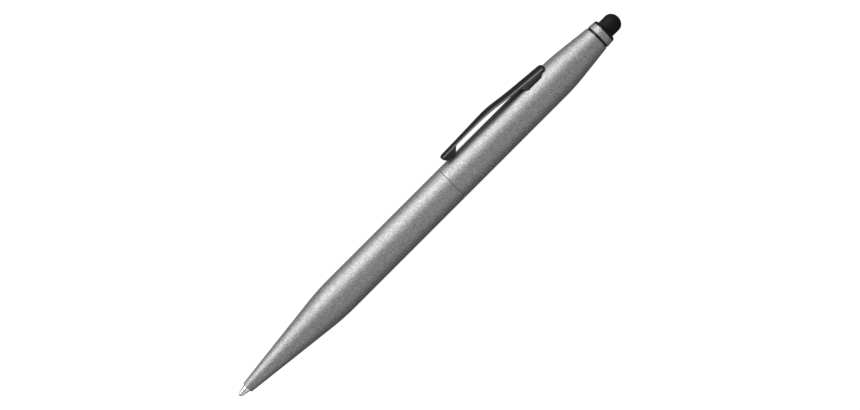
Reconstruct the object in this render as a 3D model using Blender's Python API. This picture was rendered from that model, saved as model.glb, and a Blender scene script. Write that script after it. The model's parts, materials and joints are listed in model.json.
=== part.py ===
"""A twist-action ballpoint pen with a touch-screen tip, as separate pieces in metres.

The pen lies along X with its ball towards -X, as it is with the refill out for writing. A station is a
distance along the pen from the ball's end, and a height or a radius is a distance from the pen's axis.
The origin is on the surface that the pen lies on, under the middle of the pen. The clip points to +Y and
a little up, so that the upper half turns 180 degrees without reaching under that surface.
"""

import math

import bmesh
import bpy
from mathutils import Matrix, Vector

# Gaps between pieces
FIT_GAP = 0.00005
FACE_GAP = 0.00005
RUN_GAP = 0.00008
TIP_GAP = 0.0001
SEAM_GAP = 0.00015
OVERRUN = 0.001

# Ball and metal tip of the refill
BALL_RADIUS = 0.0005
BALL_SHOWS = 0.0003
BALL_GAP = 0.00003
LIP_WALL = 0.00011
FEED_RADIUS = 0.00025
TIP_RADIUS = 0.0011
TIP_CONE_LENGTH = 0.0024
TIP_LENGTH = 0.0133
TIP_FLANGE_LENGTH = 0.001
TIP_PLUG_LENGTH = 0.0024

# Refill tube, its ink and its plastic stem
REFILL_RADIUS = 0.0015
REFILL_WALL = 0.0003
INK_SHARE = 0.8
STEM_RADIUS = 0.0012
STEM_LENGTH = 0.0068
STEM_FLANGE_LENGTH = 0.0009
STEM_PLUG_LENGTH = 0.004

# Lower barrel
BARREL_RADIUS = 0.00513
BARREL_WALL = 0.00055
TIP_PROJECTION = 0.00297
MOUTH_WALL = 0.00036
MOUTH_ROUND = 0.0003
NOSE_TAPER_LENGTH = 0.03105
NOSE_SHOULDER_ROUND = 0.07
LOWER_BARREL_LENGTH = 0.07605
SEAM_CHAMFER = 0.00006
GUIDE_BUSH_SETBACK = 0.00515
GUIDE_BUSH_LENGTH = 0.0052

# Upper barrel
UPPER_BARREL_LENGTH = 0.05375
TOP_TAPER_LENGTH = 0.013
TOP_SHOULDER_ROUND = 0.06
TOP_END_RADIUS = 0.00369
TOP_EDGE_ROUND = 0.00012

# Twist mechanism
TRAVEL = 0.006
TURN = math.pi
SPIGOT_RADIUS = 0.0036
SPIGOT_REACH = 0.012
SPIGOT_LIP = 0.005
SPIGOT_THROAT = 0.002
SPIGOT_CHAMFER = 0.0003
FLANGE_LENGTH = 0.0009
FLANGE_GAP = 0.00015
GRIP_RING_SECTION = 0.00024
GRIP_RING_SETBACK = 0.0026
LOWER_BUSH_TAIL = 0.0018
GUIDE_RADIUS = 0.00305
GUIDE_WALL = 0.0006
GUIDE_TAIL = 0.0009
CAM_WALL = 0.00047
CAM_NOSE = 0.0107
CAM_TAIL = 0.005
WASHER_LENGTH = 0.00035
RETAINER_LENGTH = 0.001
UPPER_BUSH_SETBACK = 0.0006
BUSH_SPACING = 0.00825
PIN_RADIUS = 0.0005
PIN_GAP = 0.00015
PIN_ROOT = 0.0009
CARRIER_TAIL = 0.003
CARRIER_NOSE = 0.0113
SOCKET_FLOOR_GAP = 0.0003

# Clip
CLIP_LIFT = math.radians(22.5)
CLIP_SETBACK = 0.0023
CLIP_LENGTH = 0.03605
KNEE_OFFSET = 0.01745
DIP_OFFSET = 0.02395
CLIP_START_RISE = 0.00277
KNEE_RISE = 0.00307
DIP_RISE = 0.00201
CLIP_END_RISE = 0.00084
KNEE_ROUND = 0.032
DIP_ROUND = 0.08
CLIP_THICKNESS = 0.00058
CROWN_SPREAD = 0.8
CROWN_SHARE = 0.11
CROWN_LIMIT_SHARE = 0.65
CLIP_START_WIDTH = 0.00226
CLIP_END_WIDTH = 0.00335
CLIP_CORNER_ROUND = 0.0002
CORNER_LIMIT_SHARE = 0.9
CLIP_EASE = 0.00012
FOOT_END_ROUND = 0.001
FOOT_END_WIDTH_SHARE = 0.4
HINGE_GAP = 0.00006
FREE_END_ROUND = 0.0008
BEAD_GAP = 0.00028
BEAD_CURVE_LENGTH = 0.0018
BEAD_FLAT_LENGTH = 0.0015
BEAD_RAMP_LENGTH = 0.0021
BEAD_TAPER_SHARE = 0.6
FOOT_SETBACK = 0.00202
FOOT_LENGTH = 0.0047
FOOT_WEB_LENGTH = 0.0019
FOOT_HEEL_LENGTH = 0.0014
FOOT_SINK = 0.0007
FOOT_FLARE = 1.38
TANG_WIDTH = 0.0015
TANG_LENGTH = 0.0032
TANG_REACH = 0.0012
TANG_GAP = 0.00008
LOCK_BUSH_WALL = 0.0008
LOCK_BUSH_MARGIN = 0.0016

# Rings, collar and touch tip
INSERT_LENGTH = 0.0077
INSERT_NECK_RADIUS = 0.00295
GROOVE_LENGTH = 0.00045
GROOVE_RADIUS = 0.0035
BAND_LENGTH = 0.00182
BAND_RADIUS = 0.00363
BAND_TOP_RADIUS = 0.0035
BAND_EDGE_ROUND = 0.00008
COLLAR_LENGTH = 0.00085
COLLAR_RADIUS = 0.0035
COLLAR_ROUND = 0.00075
COLLAR_LIP = 0.00015
DOME_RADIUS = 0.0026
DOME_WALL = 0.0007
DOME_PROJECTION = 0.00468
DOME_CURVE_LENGTH = 0.0023
DOME_SKIRT = 0.0007
STUD_FLANGE_LENGTH = 0.0004
STUD_CORE_LENGTH = 0.002
STUD_SHANK_RADIUS = 0.0013
STUD_SHANK_LENGTH = 0.007

# How finely round shapes are cut
BARREL_SIDES = 32
BUSH_SIDES = 32
WORK_SIDES = 24
REFILL_SIDES = 20
PIN_SIDES = 12
CORNER_STEPS = 3
BALL_SEGMENTS = 16
BALL_RINGS = 8
CAM_STEPS = 28
SHOULDER_STEPS = 5
EDGE_STEPS = 3
DOME_STEPS = 7
BEAD_STEPS = 5
FOOT_END_STEPS = 3
RING_STEPS = 8
SMOOTH_ANGLE = math.radians(30)

# Stations of the refill's tip and the lower barrel
BALL_STATION = BALL_RADIUS
LIP_STATION = BALL_SHOWS
TIP_FLANGE_STATION = LIP_STATION + TIP_LENGTH
TUBE_START = TIP_FLANGE_STATION + TIP_FLANGE_LENGTH + FACE_GAP
MOUTH_STATION = TIP_PROJECTION
NOSE_CORNER = MOUTH_STATION + NOSE_TAPER_LENGTH
SEAM = MOUTH_STATION + LOWER_BARREL_LENGTH
GUIDE_BUSH_START = MOUTH_STATION + GUIDE_BUSH_SETBACK

# Stations of the upper half, from the seam to the top of the touch tip
UPPER_START = SEAM + SEAM_GAP
UPPER_END = UPPER_START + UPPER_BARREL_LENGTH
TOP_CORNER = UPPER_END - TOP_TAPER_LENGTH
GROOVE_START = UPPER_END + FACE_GAP
GROOVE_END = GROOVE_START + GROOVE_LENGTH
BAND_START = GROOVE_END + FACE_GAP
BAND_END = BAND_START + BAND_LENGTH
COLLAR_START = BAND_END + FACE_GAP
COLLAR_END = COLLAR_START + COLLAR_LENGTH
DOME_TOP = COLLAR_END + DOME_PROJECTION
ORIGIN_STATION = DOME_TOP / 2

# Stations of the mechanism
FLANGE_END = SEAM - FACE_GAP
FLANGE_START = FLANGE_END - FLANGE_LENGTH
SPIGOT_START = FLANGE_START - SPIGOT_REACH
LOWER_BUSH_END = FLANGE_START - FACE_GAP
LOWER_BUSH_START = SPIGOT_START - LOWER_BUSH_TAIL
GUIDE_START = SPIGOT_START + SPIGOT_LIP + FACE_GAP
WASHER_START = FLANGE_END + FACE_GAP
WASHER_END = WASHER_START + WASHER_LENGTH
CAM_START = WASHER_END + FACE_GAP
PIN_STATION = CAM_START + CAM_NOSE
CAM_END = PIN_STATION + TRAVEL + CAM_TAIL
RETAINER_START = CAM_END + FACE_GAP
RETAINER_END = RETAINER_START + RETAINER_LENGTH
GUIDE_END = RETAINER_END + GUIDE_TAIL
CARRIER_END = PIN_STATION + CARRIER_TAIL
CARRIER_START = PIN_STATION - CARRIER_NOSE
STEM_FLANGE_END = CARRIER_START - FACE_GAP
STEM_FLANGE_START = STEM_FLANGE_END - STEM_FLANGE_LENGTH
TUBE_END = STEM_FLANGE_START - FACE_GAP

# Radii that follow from the pieces that fit together
NOSE_BORE = TIP_RADIUS + TIP_GAP
MOUTH_RADIUS = NOSE_BORE + MOUTH_WALL
BARREL_BORE = BARREL_RADIUS - BARREL_WALL
BUSH_RADIUS = BARREL_BORE - FIT_GAP
FLANGE_RADIUS = BARREL_BORE - FLANGE_GAP
LOWER_BUSH_BORE = SPIGOT_RADIUS + RUN_GAP
GUIDE_SEAT = GUIDE_RADIUS + FIT_GAP
GUIDE_BORE = GUIDE_RADIUS - GUIDE_WALL
CAM_BORE = GUIDE_RADIUS + RUN_GAP
CAM_RADIUS = CAM_BORE + CAM_WALL
CARRIER_RADIUS = GUIDE_BORE - RUN_GAP
TUBE_BORE = REFILL_RADIUS - REFILL_WALL
PLUG_RADIUS = TUBE_BORE - FIT_GAP
RING_BORE = INSERT_NECK_RADIUS + FIT_GAP
DOME_SEAT = DOME_RADIUS + RUN_GAP
LOCK_BUSH_BORE = BUSH_RADIUS - LOCK_BUSH_WALL

# Stations of the clip
CLIP_END = TOP_CORNER - CLIP_SETBACK
CLIP_START = CLIP_END - CLIP_LENGTH
KNEE_STATION = CLIP_START + KNEE_OFFSET
DIP_STATION = CLIP_START + DIP_OFFSET
FOOT_END = CLIP_END - FOOT_SETBACK
FOOT_START = FOOT_END - FOOT_LENGTH
TANG_STATION = (FOOT_START + FOOT_END) / 2
LOCK_BUSH_START = FOOT_START - LOCK_BUSH_MARGIN
LOCK_BUSH_END = FOOT_END + LOCK_BUSH_MARGIN
HINGE_HEIGHT = BARREL_RADIUS + DIP_RISE - CLIP_THICKNESS / 2
CLIP_ROLL = CLIP_LIFT - math.pi / 2


def nose_radius(station):
    """Radius of the nose cone, drawn as a straight line from the mouth to its corner."""
    slope = (BARREL_RADIUS - MOUTH_RADIUS) / NOSE_TAPER_LENGTH
    return MOUTH_RADIUS + slope * (station - MOUTH_STATION)


def top_bore(station):
    """Radius of the upper barrel's bore, straight as far as the corner and tapered after it."""
    slope = (BARREL_RADIUS - TOP_END_RADIUS) / TOP_TAPER_LENGTH
    return BARREL_BORE - slope * max(0, station - TOP_CORNER)


def rounded_corner(before, corner, after, radius, steps):
    """Points of the arc that rounds the corner between two straight lines of an outline."""
    corner = Vector(corner)
    back = (Vector(before) - corner).normalized()
    ahead = (Vector(after) - corner).normalized()
    half = back.angle(ahead) / 2
    centre = corner + (back + ahead).normalized() * radius / math.sin(half)
    first = corner + back * radius / math.tan(half) - centre
    last = corner + ahead * radius / math.tan(half) - centre
    sweep = math.atan2(first.x * last.y - first.y * last.x, first.dot(last))
    return [tuple(centre + Matrix.Rotation(sweep * i / steps, 2) @ first) for i in range(steps + 1)]


def on_axis(station):
    """World position of a station on the pen's axis."""
    return Vector((station - ORIGIN_STATION, 0, BARREL_RADIUS))


def on_clip_side(station, height):
    """World position of a point above the axis, on the side where the clip is."""
    return on_axis(station) + Matrix.Rotation(CLIP_ROLL, 3, "X") @ Vector((0, 0, height))


def new_material(name, color, roughness, metallic):
    """Principled material with a plain colour."""
    material = bpy.data.materials.new(name)
    material.use_nodes = True
    shader = material.node_tree.nodes["Principled BSDF"]
    shader.inputs["Base Color"].default_value = (*color, 1)
    shader.inputs["Roughness"].default_value = roughness
    shader.inputs["Metallic"].default_value = metallic
    return material


def new_piece(name, bm, location, material, roll=0.0):
    """Object made from a bmesh, with its faces turned outwards and round faces shaded smooth."""
    bmesh.ops.recalc_face_normals(bm, faces=bm.faces[:])
    mesh = bpy.data.meshes.new(name)
    bm.to_mesh(mesh)
    bm.free()
    mesh.shade_smooth()
    mesh.set_sharp_from_angle(angle=SMOOTH_ANGLE)
    if material:
        mesh.materials.append(material)
    piece = bpy.data.objects.new(name, mesh)
    bpy.context.collection.objects.link(piece)
    piece.location = location
    piece.rotation_euler.x = roll
    return piece


def new_cutter(name, bm, location, roll=0.0):
    """Object that only cuts or joins other pieces."""
    cutter = new_piece(name, bm, location, None, roll)
    cutter.hide_render = True
    cutter.display_type = "WIRE"
    return cutter


def skin(bm, rings, closed):
    """Faces between rings of vertices, where a ring of one vertex is a point on the axis."""
    pairs = list(zip(rings, rings[1:]))
    if closed:
        pairs.append((rings[-1], rings[0]))
    for one, other in pairs:
        for i in range(max(len(one), len(other))):
            j = i + 1
            corners = [one[i % len(one)], one[j % len(one)], other[j % len(other)], other[i % len(other)]]
            bm.faces.new(list(dict.fromkeys(corners)))


def turned(outline, sides):
    """Bmesh turned about the pen's axis, and the station where it starts.

    An outline that starts and ends on the axis gives a solid, and any other one is a closed loop.
    Radii are measured to the middle of the flats, and one flat faces straight down.
    """
    start = min(station for station, _ in outline)
    bm = bmesh.new()
    rings = []
    for station, radius in outline:
        reach = radius / math.cos(math.pi / sides)
        angles = [math.tau * (i + 0.5) / sides for i in range(sides)] if radius else [0]
        rings.append([bm.verts.new((station - start, reach * math.sin(a), reach * math.cos(a)))
                      for a in angles])
    skin(bm, rings, closed=outline[0][1] > 0)
    return bm, start


def turned_piece(name, outline, sides, material, roll=0.0):
    """Turned piece with its origin on the pen's axis."""
    bm, start = turned(outline, sides)
    return new_piece(name, bm, on_axis(start), material, roll)


def tube(start, end, bore, radius):
    """Outline of a plain tube."""
    return [(start, bore), (start, radius), (end, radius), (end, bore)]


def box(size, centre):
    """Bmesh of a box."""
    bm = bmesh.new()
    place = Matrix.Translation(centre) @ Matrix.Diagonal((*size, 1))
    bmesh.ops.create_cube(bm, size=1, matrix=place)
    return bm


def bar(sections, anchor):
    """Bmesh of a bar through upright sections of (station, top, bottom, top width, bottom width).

    Each section has two wide corners that crown its top and two small ones below. All of them shrink
    with the section near the bar's ends.
    """
    bm = bmesh.new()
    rings = []
    for station, top, bottom, top_width, bottom_width in sections:
        small = min(CLIP_CORNER_ROUND, CORNER_LIMIT_SHARE * min(top - bottom, bottom_width) / 2)
        crown = min(CROWN_SHARE * top_width, CROWN_LIMIT_SHARE * (top - bottom))
        ring = []
        for quarter in range(4):
            side = 1 if quarter in (0, 3) else -1
            rise, height, width = (1, top, top_width) if quarter < 2 else (-1, bottom, bottom_width)
            spread, depth = (CROWN_SPREAD * width / 2, crown) if quarter < 2 else (small, small)
            for i in range(CORNER_STEPS + 1):
                angle = math.pi / 2 * (quarter + i / CORNER_STEPS)
                across = side * (width / 2 - spread) + spread * math.cos(angle)
                level = height - rise * depth + depth * math.sin(angle)
                ring.append(bm.verts.new((station - anchor[0], across, level - anchor[1])))
        rings.append(ring)
    skin(bm, rings, closed=False)
    for ring in (rings[0], rings[-1]):
        bm.faces.new(ring)
    return bm


def combine(piece, other, operation):
    """Boolean modifier that cuts a piece with another or joins the two."""
    modifier = piece.modifiers.new(other.name, "BOOLEAN")
    modifier.object = other
    modifier.operation = operation
    modifier.solver = "EXACT"


def joint_frame(name, location, parent):
    """Empty on the axis of a joint, which carries the pieces that move with it."""
    frame = bpy.data.objects.new(name, None)
    frame.empty_display_size = BARREL_RADIUS
    bpy.context.collection.objects.link(frame)
    frame.location = location
    if parent:
        carry(parent, frame)
    return frame


def carry(frame, *pieces):
    """Parent pieces to a frame and keep them where they are."""
    bpy.context.view_layer.update()
    for piece in pieces:
        piece.parent = frame
        piece.matrix_parent_inverse = frame.matrix_world.inverted()


def make_lower_barrel(paint):
    """Lower barrel: a tube with the nose cone, bored close round the refill's tip."""
    mouth = (MOUTH_STATION, MOUTH_RADIUS)
    corner = (NOSE_CORNER, BARREL_RADIUS)
    rear = (SEAM - SEAM_CHAMFER, BARREL_RADIUS)
    outline = [(MOUTH_STATION, NOSE_BORE)]
    outline += rounded_corner(outline[0], mouth, corner, MOUTH_ROUND, EDGE_STEPS)
    outline += rounded_corner(mouth, corner, rear, NOSE_SHOULDER_ROUND, SHOULDER_STEPS)
    outline += [
        rear,
        (SEAM, BARREL_RADIUS - SEAM_CHAMFER),
        (SEAM, BARREL_BORE),
        (NOSE_CORNER, BARREL_BORE),
        (GUIDE_BUSH_START, nose_radius(GUIDE_BUSH_START) - BARREL_WALL),
        (GUIDE_BUSH_START, NOSE_BORE),
    ]
    return turned_piece("lower_barrel", outline, BARREL_SIDES, paint)


def make_nose_guide_bush(brass):
    """Conical bush that guides the refill's tip behind the mouth."""
    start = GUIDE_BUSH_START + FACE_GAP
    end = start + GUIDE_BUSH_LENGTH
    inset = BARREL_WALL + FIT_GAP
    outline = [
        (start, NOSE_BORE),
        (start, nose_radius(start) - inset),
        (end, nose_radius(end) - inset),
        (end, NOSE_BORE),
    ]
    return turned_piece("nose_guide_bush", outline, WORK_SIDES, brass)


def make_lower_bush(plastic):
    """Bush in the rear end of the lower barrel, which grips the mechanism's spigot."""
    outline = tube(LOWER_BUSH_START, LOWER_BUSH_END, LOWER_BUSH_BORE, BUSH_RADIUS)
    return turned_piece("lower_bush", outline, BUSH_SIDES, plastic)


def grip_ring_radius():
    """Radius of the middle line of the grip ring, which just clears the bush round it."""
    return LOWER_BUSH_BORE - FIT_GAP - GRIP_RING_SECTION


def make_spigot(brass):
    """Plug with a groove for the grip ring, a seat for the guide tube and a flange at the seam."""
    ring_station = SPIGOT_START + GRIP_RING_SETBACK
    groove_half = GRIP_RING_SECTION + FIT_GAP
    groove_floor = grip_ring_radius() - GRIP_RING_SECTION - FIT_GAP
    lip_end = SPIGOT_START + SPIGOT_LIP
    outline = [
        (SPIGOT_START, SPIGOT_THROAT),
        (SPIGOT_START, SPIGOT_RADIUS - SPIGOT_CHAMFER),
        (SPIGOT_START + SPIGOT_CHAMFER, SPIGOT_RADIUS),
        (ring_station - groove_half, SPIGOT_RADIUS),
        (ring_station - groove_half, groove_floor),
        (ring_station + groove_half, groove_floor),
        (ring_station + groove_half, SPIGOT_RADIUS),
        (FLANGE_START, SPIGOT_RADIUS),
        (FLANGE_START, FLANGE_RADIUS),
        (FLANGE_END, FLANGE_RADIUS),
        (FLANGE_END, GUIDE_SEAT),
        (lip_end, GUIDE_SEAT),
        (lip_end, SPIGOT_THROAT),
    ]
    return turned_piece("mechanism_spigot", outline, WORK_SIDES, brass)


def make_grip_ring(rubber):
    """O-ring that holds the two halves together."""
    station = SPIGOT_START + GRIP_RING_SETBACK
    angles = [math.tau * i / RING_STEPS for i in range(RING_STEPS)]
    outline = [
        (station + GRIP_RING_SECTION * math.cos(a), grip_ring_radius() + GRIP_RING_SECTION * math.sin(a))
        for a in angles
    ]
    return turned_piece("grip_ring", outline, WORK_SIDES, rubber)


def make_guide_tube(steel):
    """Tube with a straight slot for the follower pin."""
    piece = turned_piece("guide_tube", tube(GUIDE_START, GUIDE_END, GUIDE_BORE, GUIDE_RADIUS),
                         WORK_SIDES, steel)
    half = PIN_RADIUS + PIN_GAP
    size = (TRAVEL + 2 * half, 2 * half, GUIDE_WALL + 2 * PIN_RADIUS)
    slot = box(size, (TRAVEL / 2, 0, GUIDE_RADIUS - GUIDE_WALL / 2))
    cutter = new_cutter("guide_slot_cutter", slot, on_axis(PIN_STATION))
    combine(piece, cutter, "DIFFERENCE")
    return piece, cutter


def make_thrust_washer(nylon):
    """Washer between the spigot's flange and the cam sleeve."""
    outline = tube(WASHER_START, WASHER_END, CAM_BORE, FLANGE_RADIUS)
    return turned_piece("thrust_washer", outline, WORK_SIDES, nylon)


def make_retaining_ring(steel):
    """Ring that keeps the cam sleeve on the guide tube."""
    outline = tube(RETAINER_START, RETAINER_END, GUIDE_SEAT, CAM_RADIUS)
    return turned_piece("retaining_ring", outline, WORK_SIDES, steel)


def helical_slot():
    """Bmesh of the slot's cutter, which rises by the travel over the turn.

    The sleeve turns about +X, so the part of the slot that meets the pin after a turn lies that far
    back round the sleeve at rest.
    """
    bm = bmesh.new()
    rise = TRAVEL / TURN
    half = (PIN_RADIUS + PIN_GAP) / math.cos(math.atan(rise / CAM_RADIUS))
    over = (PIN_RADIUS + PIN_GAP) / CAM_BORE
    inner = CAM_BORE - PIN_RADIUS
    outer = CAM_RADIUS + PIN_RADIUS
    rings = []
    for i in range(CAM_STEPS + 1):
        angle = (TURN + 2 * over) * i / CAM_STEPS - over
        corners = ((-half, inner), (half, inner), (half, outer), (-half, outer))
        rings.append([bm.verts.new((rise * angle + side, reach * math.sin(angle), reach * math.cos(angle)))
                      for side, reach in corners])
    skin(bm, rings, closed=False)
    for ring in (rings[0], rings[-1]):
        bm.faces.new(ring)
    return bm


def make_cam_sleeve(steel):
    """Sleeve with the helical slot that drives the follower pin."""
    piece = turned_piece("cam_sleeve", tube(CAM_START, CAM_END, CAM_BORE, CAM_RADIUS), WORK_SIDES, steel)
    cutter = new_cutter("cam_slot_cutter", helical_slot(), on_axis(PIN_STATION))
    combine(piece, cutter, "DIFFERENCE")
    return piece, cutter


def make_upper_bush(plastic):
    """Bush that holds the cam sleeve in the upper barrel."""
    outline = tube(UPPER_START + UPPER_BUSH_SETBACK, LOCK_BUSH_START - BUSH_SPACING,
                   CAM_RADIUS + FIT_GAP, BUSH_RADIUS)
    return turned_piece("upper_bush", outline, BUSH_SIDES, plastic)


def tang_block(name, gap):
    """Cutter or joining block in the form of the clip's tang, larger by a gap all round."""
    low = BARREL_RADIUS - TANG_REACH - gap
    high = BARREL_RADIUS + BARREL_WALL
    size = (TANG_LENGTH + 2 * gap, TANG_WIDTH + 2 * gap, high - low)
    return new_cutter(name, box(size, (0, 0, (low + high) / 2)), on_axis(TANG_STATION), CLIP_ROLL)


def make_upper_barrel(paint, tang_hole):
    """Upper barrel: a tube that tapers to the rings, with a hole for the clip's tang."""
    front = (UPPER_START + SEAM_CHAMFER, BARREL_RADIUS)
    corner = (TOP_CORNER, BARREL_RADIUS)
    edge = (UPPER_END, TOP_END_RADIUS)
    inside = (UPPER_END, TOP_END_RADIUS - BARREL_WALL)
    outline = [(UPPER_START, BARREL_BORE), (UPPER_START, BARREL_RADIUS - SEAM_CHAMFER), front]
    outline += rounded_corner(front, corner, edge, TOP_SHOULDER_ROUND, SHOULDER_STEPS)
    outline += rounded_corner(corner, edge, inside, TOP_EDGE_ROUND, EDGE_STEPS)
    outline += [inside, (TOP_CORNER, BARREL_BORE)]
    piece = turned_piece("upper_barrel", outline, BARREL_SIDES, paint, CLIP_ROLL)
    combine(piece, tang_hole, "DIFFERENCE")
    return piece


def make_clip_lock_bush(brass, tang_hole):
    """Bush inside the upper barrel with a window that holds the clip's tang."""
    outline = [
        (LOCK_BUSH_START, LOCK_BUSH_BORE),
        (LOCK_BUSH_START, top_bore(LOCK_BUSH_START) - FIT_GAP),
        (LOCK_BUSH_END, top_bore(LOCK_BUSH_END) - FIT_GAP),
        (LOCK_BUSH_END, LOCK_BUSH_BORE),
    ]
    piece = turned_piece("clip_lock_bush", outline, BUSH_SIDES, brass, CLIP_ROLL)
    combine(piece, tang_hole, "DIFFERENCE")
    return piece


def clip_path():
    """Points of (station, height) along the clip's outer side, with its knee and dip rounded."""
    start = (CLIP_START, BARREL_RADIUS + CLIP_START_RISE)
    knee = (KNEE_STATION, BARREL_RADIUS + KNEE_RISE)
    dip = (DIP_STATION, BARREL_RADIUS + DIP_RISE)
    end = (CLIP_END, BARREL_RADIUS + CLIP_END_RISE)
    path = [start]
    path += rounded_corner(start, knee, dip, KNEE_ROUND, SHOULDER_STEPS)
    path += rounded_corner(knee, dip, end, DIP_ROUND, SHOULDER_STEPS)
    return path + [end]


def clip_top(station):
    """Height of the clip's outer side at a station."""
    path = clip_path()
    for one, other in zip(path, path[1:]):
        if station <= other[0]:
            break
    share = (station - one[0]) / (other[0] - one[0])
    return one[1] + share * (other[1] - one[1])


def clip_width(station):
    """Width of the clip, which widens faster and faster from its free end to its knee."""
    share = min(1, (station - CLIP_START) / KNEE_OFFSET)
    return CLIP_START_WIDTH + share ** 2 * (CLIP_END_WIDTH - CLIP_START_WIDTH)


def clip_section(station, bottom=None, flare=1):
    """Full section of the clip, as deep as its plate unless a bottom is given, and flared downwards."""
    top = clip_top(station)
    width = clip_width(station)
    return station, top, top - CLIP_THICKNESS if bottom is None else bottom, width, flare * width


def oval_share(offset, length):
    """Share of its full size that a quarter oval has reached at an offset from its end."""
    reach = min(1, offset / length)
    return math.sqrt(reach * (2 - reach))


def foot_end_sections():
    """Sections of the clip's blunt end over its foot, with both corners rounded in plan."""
    sections = []
    for i in range(FOOT_END_STEPS, -1, -1):
        offset = FOOT_END_ROUND * (1 - math.cos(math.pi / 2 * i / FOOT_END_STEPS))
        station = CLIP_END - offset
        ease = CLIP_EASE * (1 - oval_share(offset, CLIP_EASE))
        share = FOOT_END_WIDTH_SHARE + (1 - FOOT_END_WIDTH_SHARE) * oval_share(offset, FOOT_END_ROUND)
        width = share * clip_width(station)
        top = clip_top(station)
        sections.append((station, top - ease, top - CLIP_THICKNESS + ease, width, width))
    return sections


def bead_sections():
    """Sections of the clip's free end, round in every view, with the bead and the ramp behind it."""
    floor = BARREL_RADIUS + BEAD_GAP
    sections = []
    for i in range(BEAD_STEPS + 1):
        angle = math.pi / 2 * (i + 0.5) / (BEAD_STEPS + 0.5)
        offset = BEAD_CURVE_LENGTH * (1 - math.cos(angle))
        station = CLIP_START + offset
        middle = clip_top(station) - CLIP_THICKNESS / 2
        top = middle + CLIP_THICKNESS / 2 * oval_share(offset, CLIP_THICKNESS)
        bottom = middle - (middle - floor) * oval_share(offset, BEAD_CURVE_LENGTH)
        width = clip_width(station) * oval_share(offset, FREE_END_ROUND)
        sections.append((station, top, bottom, width, BEAD_TAPER_SHARE * width))
    flat_end = CLIP_START + BEAD_CURVE_LENGTH + BEAD_FLAT_LENGTH
    width = clip_width(flat_end)
    sections.append((flat_end, clip_top(flat_end), floor, width, BEAD_TAPER_SHARE * width))
    return sections + [clip_section(flat_end + BEAD_RAMP_LENGTH)]


def make_clip_arm(dark_metal):
    """Springy part of the clip from its free end to the root of its bend, with the bead."""
    root = DIP_STATION - HINGE_GAP / 2
    sections = bead_sections()
    sections += [clip_section(s) for s, _ in clip_path() if sections[-1][0] < s < root]
    sections.append(clip_section(root))
    anchor = (DIP_STATION, HINGE_HEIGHT)
    return new_piece("clip_arm", bar(sections, anchor), on_clip_side(*anchor), dark_metal, CLIP_ROLL)


def make_clip_foot(dark_metal, tang):
    """Fixed end of the clip: its plate, the post that stands on the barrel, and the tang."""
    root = DIP_STATION + HINGE_GAP / 2
    seat = BARREL_RADIUS + FIT_GAP
    sunk = BARREL_RADIUS - FOOT_SINK
    web = FOOT_START - FOOT_WEB_LENGTH
    heel = FOOT_END + FOOT_HEEL_LENGTH
    sections = [clip_section(root)]
    sections += [clip_section(s) for s, _ in clip_path() if root < s < web]
    sections += [
        clip_section(max(root + HINGE_GAP, web)),
        clip_section(FOOT_START, sunk, FOOT_FLARE),
        clip_section(FOOT_END, sunk, FOOT_FLARE),
        clip_section(heel),
    ]
    sections += foot_end_sections()
    piece = new_piece("clip_foot", bar(sections, (TANG_STATION, 0)), on_axis(TANG_STATION),
                      dark_metal, CLIP_ROLL)
    seat_outline = [
        (FOOT_START - OVERRUN, 0),
        (FOOT_START - OVERRUN, seat),
        (FOOT_END + OVERRUN, seat),
        (FOOT_END + OVERRUN, 0),
    ]
    bm, start = turned(seat_outline, BARREL_SIDES)
    seat_cutter = new_cutter("barrel_seat_cutter", bm, on_axis(start), CLIP_ROLL)
    combine(piece, seat_cutter, "DIFFERENCE")
    combine(piece, tang, "UNION")
    return piece, seat_cutter


def make_top_insert(brass):
    """Plug in the top of the barrel, with a neck for the rings and the socket of the touch tip."""
    start = UPPER_END - INSERT_LENGTH
    neck_end = COLLAR_END - COLLAR_LIP - FACE_GAP
    recess = COLLAR_END - DOME_SKIRT - STUD_FLANGE_LENGTH - 2 * FACE_GAP
    socket = recess - STUD_SHANK_LENGTH - SOCKET_FLOOR_GAP
    socket_bore = STUD_SHANK_RADIUS + FIT_GAP
    outline = [
        (start, 0),
        (start, top_bore(start) - FIT_GAP),
        (UPPER_END, top_bore(UPPER_END) - FIT_GAP),
        (UPPER_END, INSERT_NECK_RADIUS),
        (neck_end, INSERT_NECK_RADIUS),
        (neck_end, DOME_SEAT),
        (recess, DOME_SEAT),
        (recess, socket_bore),
        (socket, socket_bore),
        (socket, 0),
    ]
    return turned_piece("top_insert", outline, BUSH_SIDES, brass)


def make_groove_ring(gloss):
    """Black ring set a little below the barrel and the band."""
    return turned_piece("groove_ring", tube(GROOVE_START, GROOVE_END, RING_BORE, GROOVE_RADIUS),
                        BARREL_SIDES, gloss)


def make_finial_band(paint):
    """Painted band between the groove ring and the collar."""
    inner = (BAND_START, RING_BORE)
    front = (BAND_START, BAND_RADIUS)
    rear = (BAND_END, BAND_TOP_RADIUS)
    back = (BAND_END, RING_BORE)
    outline = [inner]
    outline += rounded_corner(inner, front, rear, BAND_EDGE_ROUND, EDGE_STEPS)
    outline += rounded_corner(front, rear, back, BAND_EDGE_ROUND, EDGE_STEPS)
    outline.append(back)
    return turned_piece("finial_band", outline, BARREL_SIDES, paint)


def make_stylus_collar(gloss):
    """Collar round the touch tip, with a lip over the insert's neck."""
    front = (COLLAR_START, COLLAR_RADIUS)
    edge = (COLLAR_END, COLLAR_RADIUS)
    lip = (COLLAR_END, DOME_SEAT)
    outline = [(COLLAR_START, RING_BORE), front]
    outline += rounded_corner(front, edge, lip, COLLAR_ROUND, SHOULDER_STEPS)
    outline += [lip, (COLLAR_END - COLLAR_LIP, DOME_SEAT), (COLLAR_END - COLLAR_LIP, RING_BORE)]
    return turned_piece("stylus_collar", outline, BARREL_SIDES, gloss)


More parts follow.
